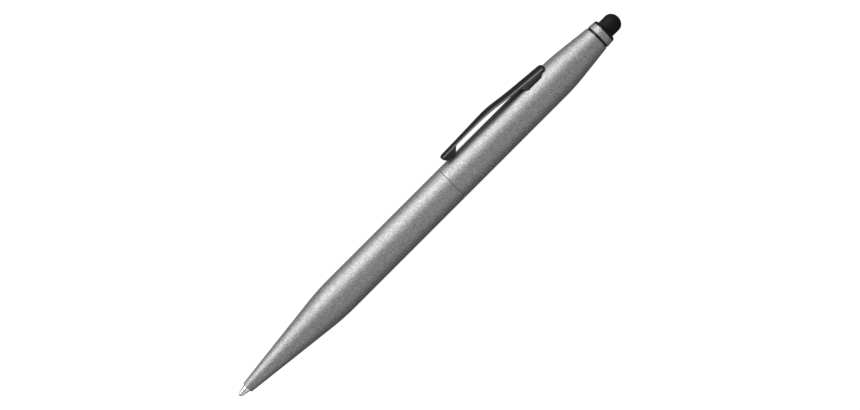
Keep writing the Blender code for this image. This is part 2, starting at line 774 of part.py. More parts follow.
def half_oval(start, length, radius):
    """Points from the rim of a dome to its top on the axis."""
    angles = [math.pi / 2 * i / DOME_STEPS for i in range(DOME_STEPS)]
    points = [(start + length * math.sin(a), radius * math.cos(a)) for a in angles]
    return points + [(start + length, 0)]


def make_stylus_dome(silicone):
    """Soft hollow dome, open at its base."""
    base = COLLAR_END - DOME_SKIRT
    curve = DOME_TOP - DOME_CURVE_LENGTH
    inner_radius = DOME_RADIUS - DOME_WALL
    outside = half_oval(curve, DOME_CURVE_LENGTH, DOME_RADIUS)
    inside = half_oval(curve, DOME_CURVE_LENGTH - DOME_WALL, inner_radius)
    outline = inside[::-1] + [(base, inner_radius), (base, DOME_RADIUS)] + outside
    return turned_piece("stylus_dome", outline, BUSH_SIDES, silicone)


def make_stylus_stud(plastic):
    """Plug of the touch tip: a core in the dome, a flange under it and a shank in the socket."""
    core_start = COLLAR_END - DOME_SKIRT - FACE_GAP
    flange_start = core_start - STUD_FLANGE_LENGTH
    core_radius = DOME_RADIUS - DOME_WALL - FIT_GAP
    outline = [
        (flange_start - STUD_SHANK_LENGTH, 0),
        (flange_start - STUD_SHANK_LENGTH, STUD_SHANK_RADIUS),
        (flange_start, STUD_SHANK_RADIUS),
        (flange_start, DOME_RADIUS),
        (core_start, DOME_RADIUS),
        (core_start, core_radius),
        (core_start + STUD_CORE_LENGTH, core_radius),
        (core_start + STUD_CORE_LENGTH, 0),
    ]
    return turned_piece("stylus_stud", outline, WORK_SIDES, plastic)


def make_carrier(brass):
    """Slider that holds the refill's stem in a socket and the follower pin in a cross hole."""
    bore = STEM_RADIUS + FIT_GAP
    floor = CARRIER_START + STEM_LENGTH + SOCKET_FLOOR_GAP
    outline = [
        (CARRIER_END, 0),
        (CARRIER_END, CARRIER_RADIUS),
        (CARRIER_START, CARRIER_RADIUS),
        (CARRIER_START, bore),
        (floor, bore),
        (floor, 0),
    ]
    piece = turned_piece("carrier", outline, WORK_SIDES, brass)
    hole = pin_shape(PIN_RADIUS + FIT_GAP, PIN_ROOT - FIT_GAP, CAM_RADIUS)
    cutter = new_cutter("pin_hole_cutter", hole, on_axis(PIN_STATION))
    combine(piece, cutter, "DIFFERENCE")
    return piece, cutter


def pin_shape(radius, low, high):
    """Bmesh of an upright round bar between two heights."""
    bm = bmesh.new()
    place = Matrix.Translation((0, 0, (low + high) / 2))
    bmesh.ops.create_cone(bm, cap_ends=True, segments=PIN_SIDES, radius1=radius, radius2=radius,
                          depth=high - low, matrix=place)
    return bm


def make_follower_pin(steel):
    """Pin that runs in the straight slot and in the helical slot."""
    shape = pin_shape(PIN_RADIUS, PIN_ROOT, CAM_RADIUS - PIN_GAP)
    return new_piece("follower_pin", shape, on_axis(PIN_STATION), steel)


def make_refill_stem(plastic):
    """Plastic end of the refill: a plug in the tube, a flange and a stem in the carrier."""
    outline = [
        (TUBE_END - STEM_PLUG_LENGTH, 0),
        (TUBE_END - STEM_PLUG_LENGTH, PLUG_RADIUS),
        (STEM_FLANGE_START, PLUG_RADIUS),
        (STEM_FLANGE_START, REFILL_RADIUS),
        (STEM_FLANGE_END, REFILL_RADIUS),
        (STEM_FLANGE_END, STEM_RADIUS),
        (STEM_FLANGE_END + STEM_LENGTH, STEM_RADIUS),
        (STEM_FLANGE_END + STEM_LENGTH, 0),
    ]
    return turned_piece("refill_stem", outline, REFILL_SIDES, plastic)


def make_refill_tube(steel):
    """Metal tube of the refill."""
    return turned_piece("refill_tube", tube(TUBE_START, TUBE_END, TUBE_BORE, REFILL_RADIUS),
                        REFILL_SIDES, steel)


def make_ink_column(ink):
    """Paste ink that fills most of the tube behind the tip's plug."""
    start = TUBE_START + TIP_PLUG_LENGTH + FACE_GAP
    end = start + INK_SHARE * (TUBE_END - STEM_PLUG_LENGTH - start)
    outline = [(start, 0), (start, PLUG_RADIUS), (end, PLUG_RADIUS), (end, 0)]
    return turned_piece("ink_column", outline, REFILL_SIDES, ink)


def make_refill_tip(steel):
    """Metal tip: lip and pocket of the ball, cone, shank, flange and plug, with a feed hole."""
    sunk = BALL_STATION - LIP_STATION
    lip_bore = math.sqrt(BALL_RADIUS ** 2 - sunk ** 2) + BALL_GAP
    pocket = BALL_RADIUS + BALL_GAP
    pocket_end = BALL_STATION + pocket
    plug_end = TUBE_START + TIP_PLUG_LENGTH
    outline = [
        (LIP_STATION, lip_bore),
        (LIP_STATION, lip_bore + LIP_WALL),
        (LIP_STATION + TIP_CONE_LENGTH, TIP_RADIUS),
        (TIP_FLANGE_STATION, TIP_RADIUS),
        (TIP_FLANGE_STATION, REFILL_RADIUS),
        (TIP_FLANGE_STATION + TIP_FLANGE_LENGTH, REFILL_RADIUS),
        (TIP_FLANGE_STATION + TIP_FLANGE_LENGTH, PLUG_RADIUS),
        (plug_end, PLUG_RADIUS),
        (plug_end, FEED_RADIUS),
        (pocket_end, FEED_RADIUS),
        (pocket_end, pocket),
        (BALL_STATION, pocket),
    ]
    return turned_piece("refill_tip", outline, REFILL_SIDES, steel)


def make_writing_ball(carbide):
    """Ball that rolls in the tip, about an axis across the pen."""
    bm = bmesh.new()
    bmesh.ops.create_uvsphere(bm, u_segments=BALL_SEGMENTS, v_segments=BALL_RINGS, radius=BALL_RADIUS,
                              matrix=Matrix.Rotation(math.pi / 2, 4, "X"))
    return new_piece("writing_ball", bm, on_axis(BALL_STATION), carbide)


def build():
    """Empty the scene, make every piece and hang it on the frame of the joint that moves it."""
    for thing in list(bpy.data.objects):
        bpy.data.objects.remove(thing)

    paint = new_material("metallic_grey_paint", (0.22, 0.22, 0.22), 0.38, 0.6)
    dark_metal = new_material("dark_plated_metal", (0.045, 0.045, 0.048), 0.18, 1)
    gloss = new_material("black_gloss_plastic", (0.012, 0.012, 0.013), 0.12, 0)
    silicone = new_material("black_silicone", (0.02, 0.02, 0.021), 0.62, 0)
    chrome = new_material("chromed_tip_metal", (0.62, 0.61, 0.6), 0.12, 1)
    carbide = new_material("carbide_ball", (0.25, 0.25, 0.26), 0.15, 1)
    brass = new_material("turned_brass", (0.56, 0.4, 0.16), 0.3, 1)
    steel = new_material("drawn_steel", (0.45, 0.45, 0.46), 0.3, 1)
    acetal = new_material("black_acetal", (0.03, 0.03, 0.03), 0.5, 0)
    nylon = new_material("white_nylon", (0.75, 0.74, 0.7), 0.5, 0)
    rubber = new_material("black_rubber", (0.02, 0.02, 0.02), 0.8, 0)
    ink = new_material("black_ink", (0.01, 0.01, 0.012), 0.2, 0)

    lower = joint_frame("lower_half_frame", on_axis(SEAM), None)
    mechanism = joint_frame("mechanism_frame", on_axis(SEAM), lower)
    upper = joint_frame("upper_half_frame", on_axis(SEAM), mechanism)
    clip = joint_frame("clip_frame", on_clip_side(DIP_STATION, HINGE_HEIGHT), upper)
    refill = joint_frame("refill_frame", on_axis(PIN_STATION), mechanism)
    ball = joint_frame("ball_frame", on_axis(BALL_STATION), refill)
    touch_tip = joint_frame("touch_tip_frame", on_axis(COLLAR_END), upper)

    carry(lower, make_lower_barrel(paint), make_nose_guide_bush(brass), make_lower_bush(acetal))
    carry(mechanism, make_spigot(brass), make_grip_ring(rubber), *make_guide_tube(steel))
    carry(mechanism, make_thrust_washer(nylon), make_retaining_ring(steel))

    tang = tang_block("tang_block", 0)
    tang_hole = tang_block("tang_hole_cutter", TANG_GAP)
    carry(upper, tang, tang_hole, make_upper_barrel(paint, tang_hole))
    carry(upper, make_upper_bush(acetal), *make_cam_sleeve(steel))
    carry(upper, make_clip_lock_bush(brass, tang_hole), *make_clip_foot(dark_metal, tang))
    carry(upper, make_top_insert(brass), make_groove_ring(gloss))
    carry(upper, make_finial_band(paint), make_stylus_collar(gloss))

    carry(clip, make_clip_arm(dark_metal))
    carry(refill, *make_carrier(brass), make_follower_pin(steel), make_refill_stem(acetal))
    carry(refill, make_refill_tube(steel), make_ink_column(ink), make_refill_tip(chrome))
    carry(ball, make_writing_ball(carbide))
    carry(touch_tip, make_stylus_dome(silicone), make_stylus_stud(acetal))


build()
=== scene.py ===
"""Dresses a twist-action ballpoint pen with a touch-screen tip for its photograph.

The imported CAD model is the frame. Everything that shows is drawn again here with finer curves and
rides on the same bodies, and the working parts inside keep their CAD shapes and get real finishes.

A station is a distance along the pen from the ball's end, and a height or a radius is a distance
from the pen's axis. The pen lies along X with its ball towards -X.
"""

import json
import logging
import math
from collections.abc import Callable, Sequence
from dataclasses import dataclass, field
from enum import Enum

import bmesh
import bpy
from mathutils import Matrix, Vector


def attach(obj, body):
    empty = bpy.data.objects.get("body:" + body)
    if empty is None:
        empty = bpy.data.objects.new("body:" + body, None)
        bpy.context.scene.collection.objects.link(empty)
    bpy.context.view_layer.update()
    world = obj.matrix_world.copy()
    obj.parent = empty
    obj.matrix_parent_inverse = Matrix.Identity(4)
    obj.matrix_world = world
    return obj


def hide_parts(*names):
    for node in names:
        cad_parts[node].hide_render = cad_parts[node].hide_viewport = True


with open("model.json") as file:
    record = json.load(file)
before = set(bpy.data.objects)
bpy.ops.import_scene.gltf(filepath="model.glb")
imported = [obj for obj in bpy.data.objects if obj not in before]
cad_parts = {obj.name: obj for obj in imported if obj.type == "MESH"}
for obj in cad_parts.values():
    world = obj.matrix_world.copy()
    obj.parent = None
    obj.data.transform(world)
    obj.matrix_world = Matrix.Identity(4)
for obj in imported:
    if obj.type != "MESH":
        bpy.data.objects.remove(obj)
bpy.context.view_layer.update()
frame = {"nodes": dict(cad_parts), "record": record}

log = logging.getLogger("pen")

MM = 0.001
BARREL_RADIUS = 5.13 * MM
AXIS_HEIGHT = BARREL_RADIUS
ORIGIN_STATION = 70.435 * MM

# The clip points this far above the horizontal. It is drawn upright over the axis and then rolled.
CLIP_LIFT = math.radians(22.5)
CLIP_ROLL = CLIP_LIFT - math.pi / 2

# Steps round the axis: of large pieces, of small ones that show, of those inside and of the ball.
ROUND_STEPS = 144
FINE_STEPS = 96
SMALL_STEPS = 72
BALL_STEPS = 48

# How far the sides of a crowned top reach down under it, in shares of its height.
CROWN_WALL = 0.6
# Edges bent by more than this stay sharp, and points nearer than this are one point.
SHARP_BEND = math.radians(32)
WELD = 1e-6


# Places


def on_axis(station: float) -> Vector:
    """World position of a station on the pen's axis."""
    return Vector((station - ORIGIN_STATION, 0, AXIS_HEIGHT))


def upright(station: float, height: float, across: float = 0.0) -> Vector:
    """World position of a point over the axis, where the clip is drawn before it is rolled."""
    return on_axis(station) + Vector((0, across, height))


# Edit Mode, as by hand


def deselect_everything() -> None:
    """Go back to Object Mode with nothing selected."""
    if bpy.context.mode != "OBJECT":
        bpy.ops.object.mode_set(mode="OBJECT")
    bpy.ops.object.select_all(action="DESELECT")


def take(piece: bpy.types.Object) -> None:
    """Select one piece alone and make it active.

    Args:
        piece: The piece that is worked on next.
    """
    deselect_everything()
    piece.select_set(True)
    bpy.context.view_layer.objects.active = piece


def select_where(piece: bpy.types.Object, test: Callable[[Vector], bool]) -> None:
    """Select the vertices of the piece in Edit Mode that pass a test of their place, and no others.

    Args:
        piece: The piece that is in Edit Mode.
        test: Says of a place whether its vertex is wanted.
    """
    mesh = bmesh.from_edit_mesh(piece.data)
    for vert in mesh.verts:
        vert.select_set(test(vert.co))
    mesh.select_flush_mode()
    bmesh.update_edit_mesh(piece.data)


def start_point(name: str, place: Vector) -> bpy.types.Object:
    """New mesh of one vertex, left in Edit Mode with that vertex selected.

    Args:
        name: Name of the new piece.
        place: World position of the vertex.

    Returns:
        The new piece, whose object is at the origin.
    """
    deselect_everything()
    bpy.ops.mesh.primitive_plane_add(size=MM, location=(0, 0, 0))
    piece = bpy.context.object
    piece.name = piece.data.name = name
    bpy.ops.object.mode_set(mode="EDIT")
    bpy.ops.mesh.select_mode(type="VERT")
    bpy.ops.mesh.select_all(action="SELECT")
    bpy.ops.mesh.merge(type="CENTER")
    bpy.ops.transform.translate(value=place)
    return piece


def draw_line(points: Sequence[Vector], closed: bool) -> None:
    """Extrude the selected vertex from point to point.

    Args:
        points: The line's points, of which the first is where the vertex is.
        closed: Whether an edge joins the last point to the first.
    """
    for one, other in zip(points, points[1:]):
        bpy.ops.mesh.extrude_region_move(TRANSFORM_OT_translate={"value": other - one})
    if closed:
        first, last = points[0], points[-1]
        select_where(bpy.context.object,
                     lambda place: min((place - first).length, (place - last).length) < WELD)
        bpy.ops.mesh.edge_face_add()


def finish_mesh(piece: bpy.types.Object) -> bpy.types.Object:
    """Weld what meets, turn the faces outwards, and shade the round faces smooth.

    Args:
        piece: The piece, in Edit Mode.

    Returns:
        The same piece, in Object Mode.
    """
    bpy.ops.mesh.select_all(action="SELECT")
    bpy.ops.mesh.remove_doubles(threshold=WELD)
    bpy.ops.mesh.normals_make_consistent(inside=False)
    bpy.ops.object.mode_set(mode="OBJECT")
    bpy.ops.object.shade_smooth_by_angle(angle=SHARP_BEND)
    return piece


def cut(piece: bpy.types.Object, tool: bpy.types.Object, operation: str = "DIFFERENCE") -> None:
    """Cut a piece with a tool, or join the two, and throw the tool away.

    Args:
        piece: The piece that stays.
        tool: The other shape.
        operation: The Boolean modifier's operation.
    """
    take(piece)
    bpy.ops.object.modifier_add(type="BOOLEAN")
    modifier = piece.modifiers[-1]
    modifier.object = tool
    modifier.operation = operation
    modifier.solver = "EXACT"
    bpy.ops.object.modifier_apply(modifier=modifier.name)
    bpy.data.objects.remove(tool)


# Turned pieces


@dataclass(frozen=True)
class Corner:
    """One corner of a turned profile: its place, and its rounding's radius and number of steps."""

    station: float
    radius: float
    rounding: float = 0.0
    steps: int = 6

    @property
    def place(self) -> Vector:
        """Corner's place in the plane of the profile."""
        return Vector((self.station, self.radius))


def rounded(before: Vector, corner: Corner, after: Vector) -> list[Vector]:
    """Points of the arc that rounds a corner, each side held by one more point on its straight.

    Args:
        before: The profile's last corner.
        corner: The corner that is rounded.
        after: The profile's next corner.

    Returns:
        Points in the plane of the profile.
    """
    back = (before - corner.place).normalized()
    ahead = (after - corner.place).normalized()
    half = back.angle(ahead) / 2
    setback = corner.rounding / math.tan(half)
    centre = corner.place + (back + ahead).normalized() * corner.rounding / math.sin(half)
    first = corner.place + back * setback - centre
    last = corner.place + ahead * setback - centre
    sweep = math.atan2(first.x * last.y - first.y * last.x, first.dot(last))
    arc = [centre + Matrix.Rotation(sweep * i / corner.steps, 2) @ first
           for i in range(corner.steps + 1)]
    hold = setback / corner.steps
    points = []
    if (before - corner.place).length > setback + 2 * hold:
        points.append(arc[0] + back * hold)
    points += arc
    if (after - corner.place).length > setback + 2 * hold:
        points.append(arc[-1] + ahead * hold)
    return points


def profile_points(corners: Sequence[Corner]) -> list[Vector]:
    """Points of a profile with its corners rounded.

    Args:
        corners: The profile's corners, in order.

    Returns:
        Points in the plane of the profile.
    """
    points = []
    for i, corner in enumerate(corners):
        before = corners[i - 1].place
        after = corners[(i + 1) % len(corners)].place
        points += rounded(before, corner, after) if corner.rounding else [corner.place]
    return points


def turn(name: str, corners: Sequence[Corner], steps: int = ROUND_STEPS) -> bpy.types.Object:
    """Piece turned about the pen's axis.

    Args:
        name: Name of the new piece.
        corners: The profile. It is a closed loop, or it starts and ends on the axis.
        steps: Number of steps round the axis.

    Returns:
        The finished piece.
    """
    points = [upright(*point) for point in profile_points(corners)]
    piece = start_point(name, points[0])
    draw_line(points, closed=corners[0].radius > 0)
    bpy.ops.mesh.select_all(action="SELECT")
    bpy.ops.mesh.spin(steps=steps, angle=math.tau, center=(0, 0, AXIS_HEIGHT), axis=(1, 0, 0),
                      use_auto_merge=True)
    return finish_mesh(piece)


def dome_corners(start: float, length: float, radius: float, steps: int) -> list[Corner]:
    """Corners of a quarter oval, from its rim to its top on the axis.

    Args:
        start: Station of the rim.
        length: Length of the dome along the axis.
        radius: Radius of the rim.
        steps: Number of steps from the rim to the top.

    Returns:
        The corners, none of them rounded.
    """
    angles = [math.pi / 2 * i / steps for i in range(steps)]
    corners = [Corner(start + length * math.sin(a), radius * math.cos(a)) for a in angles]
    return corners + [Corner(start + length, 0)]


def ring_corners(start: float, end: float, bore: float, radii: tuple[float, float], rounding: float,
                 steps: int) -> list[Corner]:
    """Corners of a plain ring or tube with its two outer edges rounded.

    Args:
        start: Station of its first face.
        end: Station of its last face.
        bore: Radius of its bore.
        radii: Its outer radius at the first face and at the last.
        rounding: Radius of its outer edges.
        steps: Number of steps round each edge.

    Returns:
        The corners of its profile.
    """
    return [Corner(start, bore), Corner(start, radii[0], rounding, steps),
            Corner(end, radii[1], rounding, steps), Corner(end, bore)]


# Bars drawn section by section


def crown_outline() -> list[tuple[float, float]]:
    """Outline of a crowned top in shares of half its width and of its depth.

    It is an arc that turns down at round shoulders into the bar's two thin edges.

    Returns:
        Points of (across, up), from one edge over the crown to the other.
    """
    edge = math.radians(25)
    arc_width, shoulder_width, shoulder_drop = 0.955, 0.078, 0.35
    arc_steps, shoulder_steps = 6, 3
    arc = [edge * i / arc_steps for i in range(-arc_steps, arc_steps + 1)]
    points = [(arc_width * math.sin(a) / math.sin(edge),
               (math.cos(a) - math.cos(edge)) / (1 - math.cos(edge))) for a in arc]
    turns = [edge + (math.pi / 2 - edge) * i / shoulder_steps for i in range(1, shoulder_steps + 1)]
    side = [(arc_width + shoulder_width * (math.sin(a) - math.sin(edge)),
             -shoulder_drop * (math.cos(edge) - math.cos(a))) for a in turns]
    side.append((1, -CROWN_WALL))
    return [(-across, up) for across, up in reversed(side)] + points + side


@dataclass(frozen=True)
class Section:
    """Upright section of a bar: a crowned top, straight sides and two oval corners below."""

    station: float
    top: float
    bottom: float
    top_width: float
    bottom_width: float
    crown: float
    corner: tuple[float, float]

    def parts(self) -> dict[int, tuple[Vector, Vector]]:
        """Centre and half sizes of the crown, at 0, and of the corners, at -1 and 1.

        Returns:
            A pair of vectors for each of the three parts.
        """
        across, up = self.corner
        parts = {0: (upright(self.station, self.top - self.crown),
                     Vector((1, self.top_width / 2, self.crown)))}
        for side in (-1, 1):
            out = side * (self.bottom_width / 2 - across)
            parts[side] = (upright(self.station, self.bottom + up, out), Vector((1, across, up)))
        return parts

    def split(self) -> float:
        """Height in the world between the crown's shoulders and the corners."""
        crown, corner = self.parts()[0], self.parts()[1]
        return (crown[0].z - CROWN_WALL * crown[1].z + corner[0].z) / 2

    def outline(self) -> list[Vector]:
        """Places of the section's corners, in order round it.

        Returns:
            World positions, for the clip as it is before it is rolled.
        """
        parts = self.parts()
        centre, size = parts[0]
        points = [centre + Vector((0, across * size.y, up * size.z))
                  for across, up in crown_outline()]
        steps = 4
        turns = [math.pi / 2 * i / steps for i in range(steps + 1)]
        for side, angles in ((1, turns), (-1, turns[::-1])):
            centre, size = parts[side]
            points += [centre + Vector((0, side * size.y * math.cos(a), -size.z * math.sin(a)))
                       for a in angles]
        return points


@dataclass
class SectionBar:
    """A bar that is drawn by extruding one section along the pen and fitting it at each place."""

    name: str
    sections: list[Section]

    def draw(self) -> bpy.types.Object:
        """Draw the bar through its sections.

        Returns:
            The bar, in Edit Mode, as it is before it is rolled to the clip's side.
        """
        outline = self.sections[0].outline()
        piece = start_point(self.name, outline[0])
        draw_line(outline, closed=True)
        bpy.ops.mesh.select_all(action="SELECT")
        bpy.ops.mesh.edge_face_add()
        for last, this in zip(self.sections, self.sections[1:]):
            self.next_section(piece, last, this)
        return piece

    def move_part(self, piece: bpy.types.Object, part: Sequence[int], old: tuple[Vector, Vector],
                  new: tuple[Vector, Vector]) -> None:
        """Move the crown or a corner of the newest section, and change its size.

        Args:
            piece: The bar, in Edit Mode.
            part: The part's vertices.
            old: The part's present centre and half sizes.
            new: Those that it gets.
        """
        mesh = bmesh.from_edit_mesh(piece.data)
        mesh.verts.ensure_lookup_table()
        for vert in mesh.verts:
            vert.select_set(False)
        for index in part:
            mesh.verts[index].select_set(True)
        mesh.select_flush_mode()
        growth = [after / before for before, after in zip(old[1], new[1])]
        bpy.ops.transform.resize(value=growth, center_override=old[0])
        bpy.ops.transform.translate(value=new[0] - old[0])

    def next_section(self, piece: bpy.types.Object, last: Section, this: Section) -> None:
        """Extrude the newest section and fit the copy to its place.

        Args:
            piece: The bar, in Edit Mode.
            last: The newest section.
            this: The section to be drawn.
        """
        newest = on_axis(last.station).x
        select_where(piece, lambda place: abs(place.x - newest) < WELD / 4)
        shift = Vector((this.station - last.station, 0, 0))
        bpy.ops.mesh.extrude_region_move(TRANSFORM_OT_translate={"value": shift})
        mesh = bmesh.from_edit_mesh(piece.data)
        parts = {-1: [], 0: [], 1: []}
        for vert in mesh.verts:
            if vert.select:
                side = 1 if vert.co.y > 0 else -1
                parts[0 if vert.co.z > last.split() else side].append(vert.index)
        old = last.parts()
        for key, new in this.parts().items():
            self.move_part(piece, parts[key], (old[key][0] + shift, old[key][1]), new)


def roll_to_clip_side(piece: bpy.types.Object) -> None:
    """Turn a piece in Edit Mode from over the axis to the side where the clip is."""
    bpy.ops.mesh.select_all(action="SELECT")
    bpy.ops.transform.rotate(value=-CLIP_ROLL, orient_axis="X", center_override=(0, 0, AXIS_HEIGHT))


# Materials


def linear(hex_color: str) -> tuple[float, float, float, float]:
    """Turn an sRGB hex colour into the linear colour that a shader reads.

    Args:
        hex_color: The colour, such as #8f8f8f.

    Returns:
        Red, green, blue and an alpha of 1.
    """
    parts = [int(hex_color[i:i + 2], 16) / 255 for i in (1, 3, 5)]
    red, green, blue = (p / 12.92 if p <= 0.04045 else ((p + 0.055) / 1.055) ** 2.4 for p in parts)
    return red, green, blue, 1.0


def add_node(tree: bpy.types.NodeTree, kind: str, settings: dict | None = None,
             links: dict | None = None) -> bpy.types.Node:
    """Add a node with its settings and links.

    Args:
        tree: The material's or world's node tree.
        kind: The node's type.
        settings: Values by property name or input name.
        links: Output sockets by the name or number of the input that each goes to.

    Returns:
        The new node.
    """
    node = tree.nodes.new(kind)
    for key, value in (settings or {}).items():
        if key in node.inputs:
            node.inputs[key].default_value = value
        else:
            setattr(node, key, value)
    for key, socket in (links or {}).items():
        tree.links.new(socket, node.inputs[key])
    return node


class Grain(Enum):
    """How a surface was made, which decides its pattern."""

    FLAKES = "metallic flakes under a clear coat"
    POLISH = "polished, with slow ripples"
    LATHE = "turned, with rings of tool marks"
    MOULD = "moulded, with a fine texture"


@dataclass(frozen=True)
class Finish:
    """A real material and how its surface was made.

    Its haze is a slow change of roughness from place to place, as handling and polishing leave it.
    The IOR of 1.5 is that of common plastics, and a metal keeps the shader's own.
    """

    name: str
    slot: str
    color: str
    metallic: float
    roughness: float
    grain: Grain
    grain_size: float
    grain_depth: float
    color_spread: float = 0.0
    roughness_spread: float = 0.0
    specular: float = 0.5
    ior: float = 1.5
    haze_size: float = 6 * MM

    def build(self) -> bpy.types.Material:
        """Make the material.

        Returns:
            The material, with its pattern on Object coordinates.
        """
        material = bpy.data.materials.new(self.name)
        material.use_nodes = True
        tree = material.node_tree
        shader = tree.nodes["Principled BSDF"]
        shader.inputs["Metallic"].default_value = self.metallic
        if self.metallic < 1:
            shader.inputs["IOR"].default_value = self.ior
            shader.inputs["Specular IOR Level"].default_value = self.specular
        place = add_node(tree, "ShaderNodeTexCoord").outputs["Object"]
        pattern = self.pattern(tree, place)
        # A mix of colours has its two colours at inputs 6 and 7, and its result at output 2.
        color = add_node(tree, "ShaderNodeMix", {"data_type": "RGBA"}, {0: pattern})
        color.inputs[6].default_value = self.tint(1 - self.color_spread)
        color.inputs[7].default_value = self.tint(1 + self.color_spread)
        tree.links.new(color.outputs[2], shader.inputs["Base Color"])
        haze = add_node(tree, "ShaderNodeTexNoise", {"Scale": 1 / self.haze_size, "Detail": 3.0},
                        {"Vector": place})
        rough = add_node(tree, "ShaderNodeMapRange",
                         {"To Min": self.roughness - self.roughness_spread,
                          "To Max": self.roughness + self.roughness_spread},
                         {"Value": haze.outputs["Fac"]})
        tree.links.new(rough.outputs["Result"], shader.inputs["Roughness"])
        bump = add_node(tree, "ShaderNodeBump", {"Strength": 1.0, "Distance": self.grain_depth},
                        {"Height": pattern})
        tree.links.new(bump.outputs["Normal"], shader.inputs["Normal"])
        return material

    def tint(self, share: float) -> tuple[float, float, float, float]:
        """Base colour made darker or lighter by a share."""
        red, green, blue, _ = linear(self.color)
        return red * share, green * share, blue * share, 1.0

    def pattern(self, tree: bpy.types.NodeTree,
                place: bpy.types.NodeSocket) -> bpy.types.NodeSocket:
        """Pattern from 0 to 1 for the way the surface was made.

        Args:
            tree: The material's node tree.
            place: Object coordinates.

        Returns:
            The pattern's output socket.
        """
        scale = 1 / self.grain_size
        if self.grain is Grain.FLAKES:
            cells = add_node(tree, "ShaderNodeTexVoronoi", {"Scale": scale}, {"Vector": place})
            shade = add_node(tree, "ShaderNodeSeparateColor", {}, {0: cells.outputs["Color"]})
            return shade.outputs[0]
        if self.grain is Grain.LATHE:
            # A wave of scale 1 turns 20 radians in a metre, so rings stand 2 pi grain sizes apart.
            wave_turn = 20
            rings = add_node(tree, "ShaderNodeTexWave",
                             {"bands_direction": "X", "Scale": scale / wave_turn, "Distortion": 2.0,
                              "Detail": 3.0}, {"Vector": place})
            return rings.outputs["Fac"]
        detail = 2.0 if self.grain is Grain.POLISH else 5.0
        noise = add_node(tree, "ShaderNodeTexNoise", {"Scale": scale, "Detail": detail},
                         {"Vector": place})
        return noise.outputs["Fac"]


@dataclass(frozen=True)
class Finishes:
    """Every finish on the pen.

    Each has its name, the record's slot, its colour, metallic and roughness, and then its grain
    with the grain's size and depth, and by how much the colour and the roughness vary.
    """

    # Sprayed lacquer with aluminium flakes: a soft, broad shine that sparkles from flake to flake.
    # Real flakes are a few hundredths of a millimetre wide, too fine to show, so they are drawn
    # 0.15 mm wide.
    paint: Finish = Finish("satin_flake_paint", "metallic_grey_paint", "#8f8f8f", 1.0, 0.57,
                           Grain.FLAKES, 0.15 * MM, 0.005 * MM, 0.42, 0.02)
    # Polished and black nickel plated: a dark mirror, a little blurred, with slow ripples.
    plating: Finish = Finish("black_nickel_plating", "dark_plated_metal", "#434346", 1.0, 0.28,
                             Grain.POLISH, 2.5 * MM, 0.001 * MM, 0.05, 0.03)
    # Moulded and polished ABS: deep black, with a small soft highlight.
    gloss: Finish = Finish("gloss_black_plastic", "black_gloss_plastic", "#0c0c0d", 0.0, 0.3,
                           Grain.POLISH, 1.5 * MM, 0.002 * MM, 0.1, 0.02, specular=0.17)
    # Carbon-filled silicone from a blasted mould: black, with only a wide dull shine. The blasted
    # skin is finer than 0.1 mm and is drawn at 0.3 mm.
    silicone: Finish = Finish("matt_conductive_silicone", "black_silicone", "#101011", 0.0, 0.62,
                              Grain.MOULD, 0.3 * MM, 0.012 * MM, 0.2, 0.05, specular=0.1)
    # Nickel silver turned bright: a clear, faintly warm white with fine rings, drawn wider than the
    # real tool marks, which are finer than a pixel.
    tip_metal: Finish = Finish("turned_nickel_silver", "chromed_tip_metal", "#dfddd9", 1.0, 0.18,
                               Grain.LATHE, 0.15 * MM, 0.0015 * MM, 0.04, 0.03)
    # Ground tungsten carbide with a film of ink: a dark mirror in uneven patches.
    carbide: Finish = Finish("ground_carbide", "carbide_ball", "#5a5a5e", 1.0, 0.15,
                             Grain.POLISH, 0.3 * MM, 0.001 * MM, 0.5, 0.05)
    # Brass as it leaves the lathe: yellow and bright, with rings drawn wider than the real ones.
    brass: Finish = Finish("lathe_turned_brass", "turned_brass", "#c2a15f", 1.0, 0.26,
                           Grain.LATHE, 0.2 * MM, 0.003 * MM, 0.06, 0.05)
    # Cold drawn steel, ground round: light grey and satin, with faint rings.
    steel: Finish = Finish("cold_drawn_steel", "drawn_steel", "#b0b0b2", 1.0, 0.28,
                           Grain.LATHE, 0.3 * MM, 0.002 * MM, 0.05, 0.05)
    # Moulded acetal: near black and slightly waxy, with a fine even skin.
    acetal: Finish = Finish("moulded_black_acetal", "black_acetal", "#2a2a2b", 0.0, 0.42,
                            Grain.MOULD, 0.25 * MM, 0.004 * MM, 0.1, 0.05)
    # Moulded nylon: a milky white with a soft shine.
    nylon: Finish = Finish("moulded_white_nylon", "white_nylon", "#e0ded8", 0.0, 0.45,
                           Grain.MOULD, 0.25 * MM, 0.004 * MM, 0.04, 0.05)
    # Moulded nitrile rubber: matt black, with hardly any shine.
    rubber: Finish = Finish("moulded_black_rubber", "black_rubber", "#1b1b1b", 0.0, 0.7,
                            Grain.MOULD, 0.12 * MM, 0.006 * MM, 0.15, 0.08)
    # Ink paste: wet black, with the soft waves of something poured.
    ink: Finish = Finish("paste_ink", "black_ink", "#0e0e12", 0.0, 0.2,
                         Grain.MOULD, 0.8 * MM, 0.01 * MM, 0.2, 0.05)

    def materials(self) -> dict[str, bpy.types.Material]:
        """Build every material, by the record's slot that it stands for."""
        return {finish.slot: finish.build() for finish in vars(self).values()}


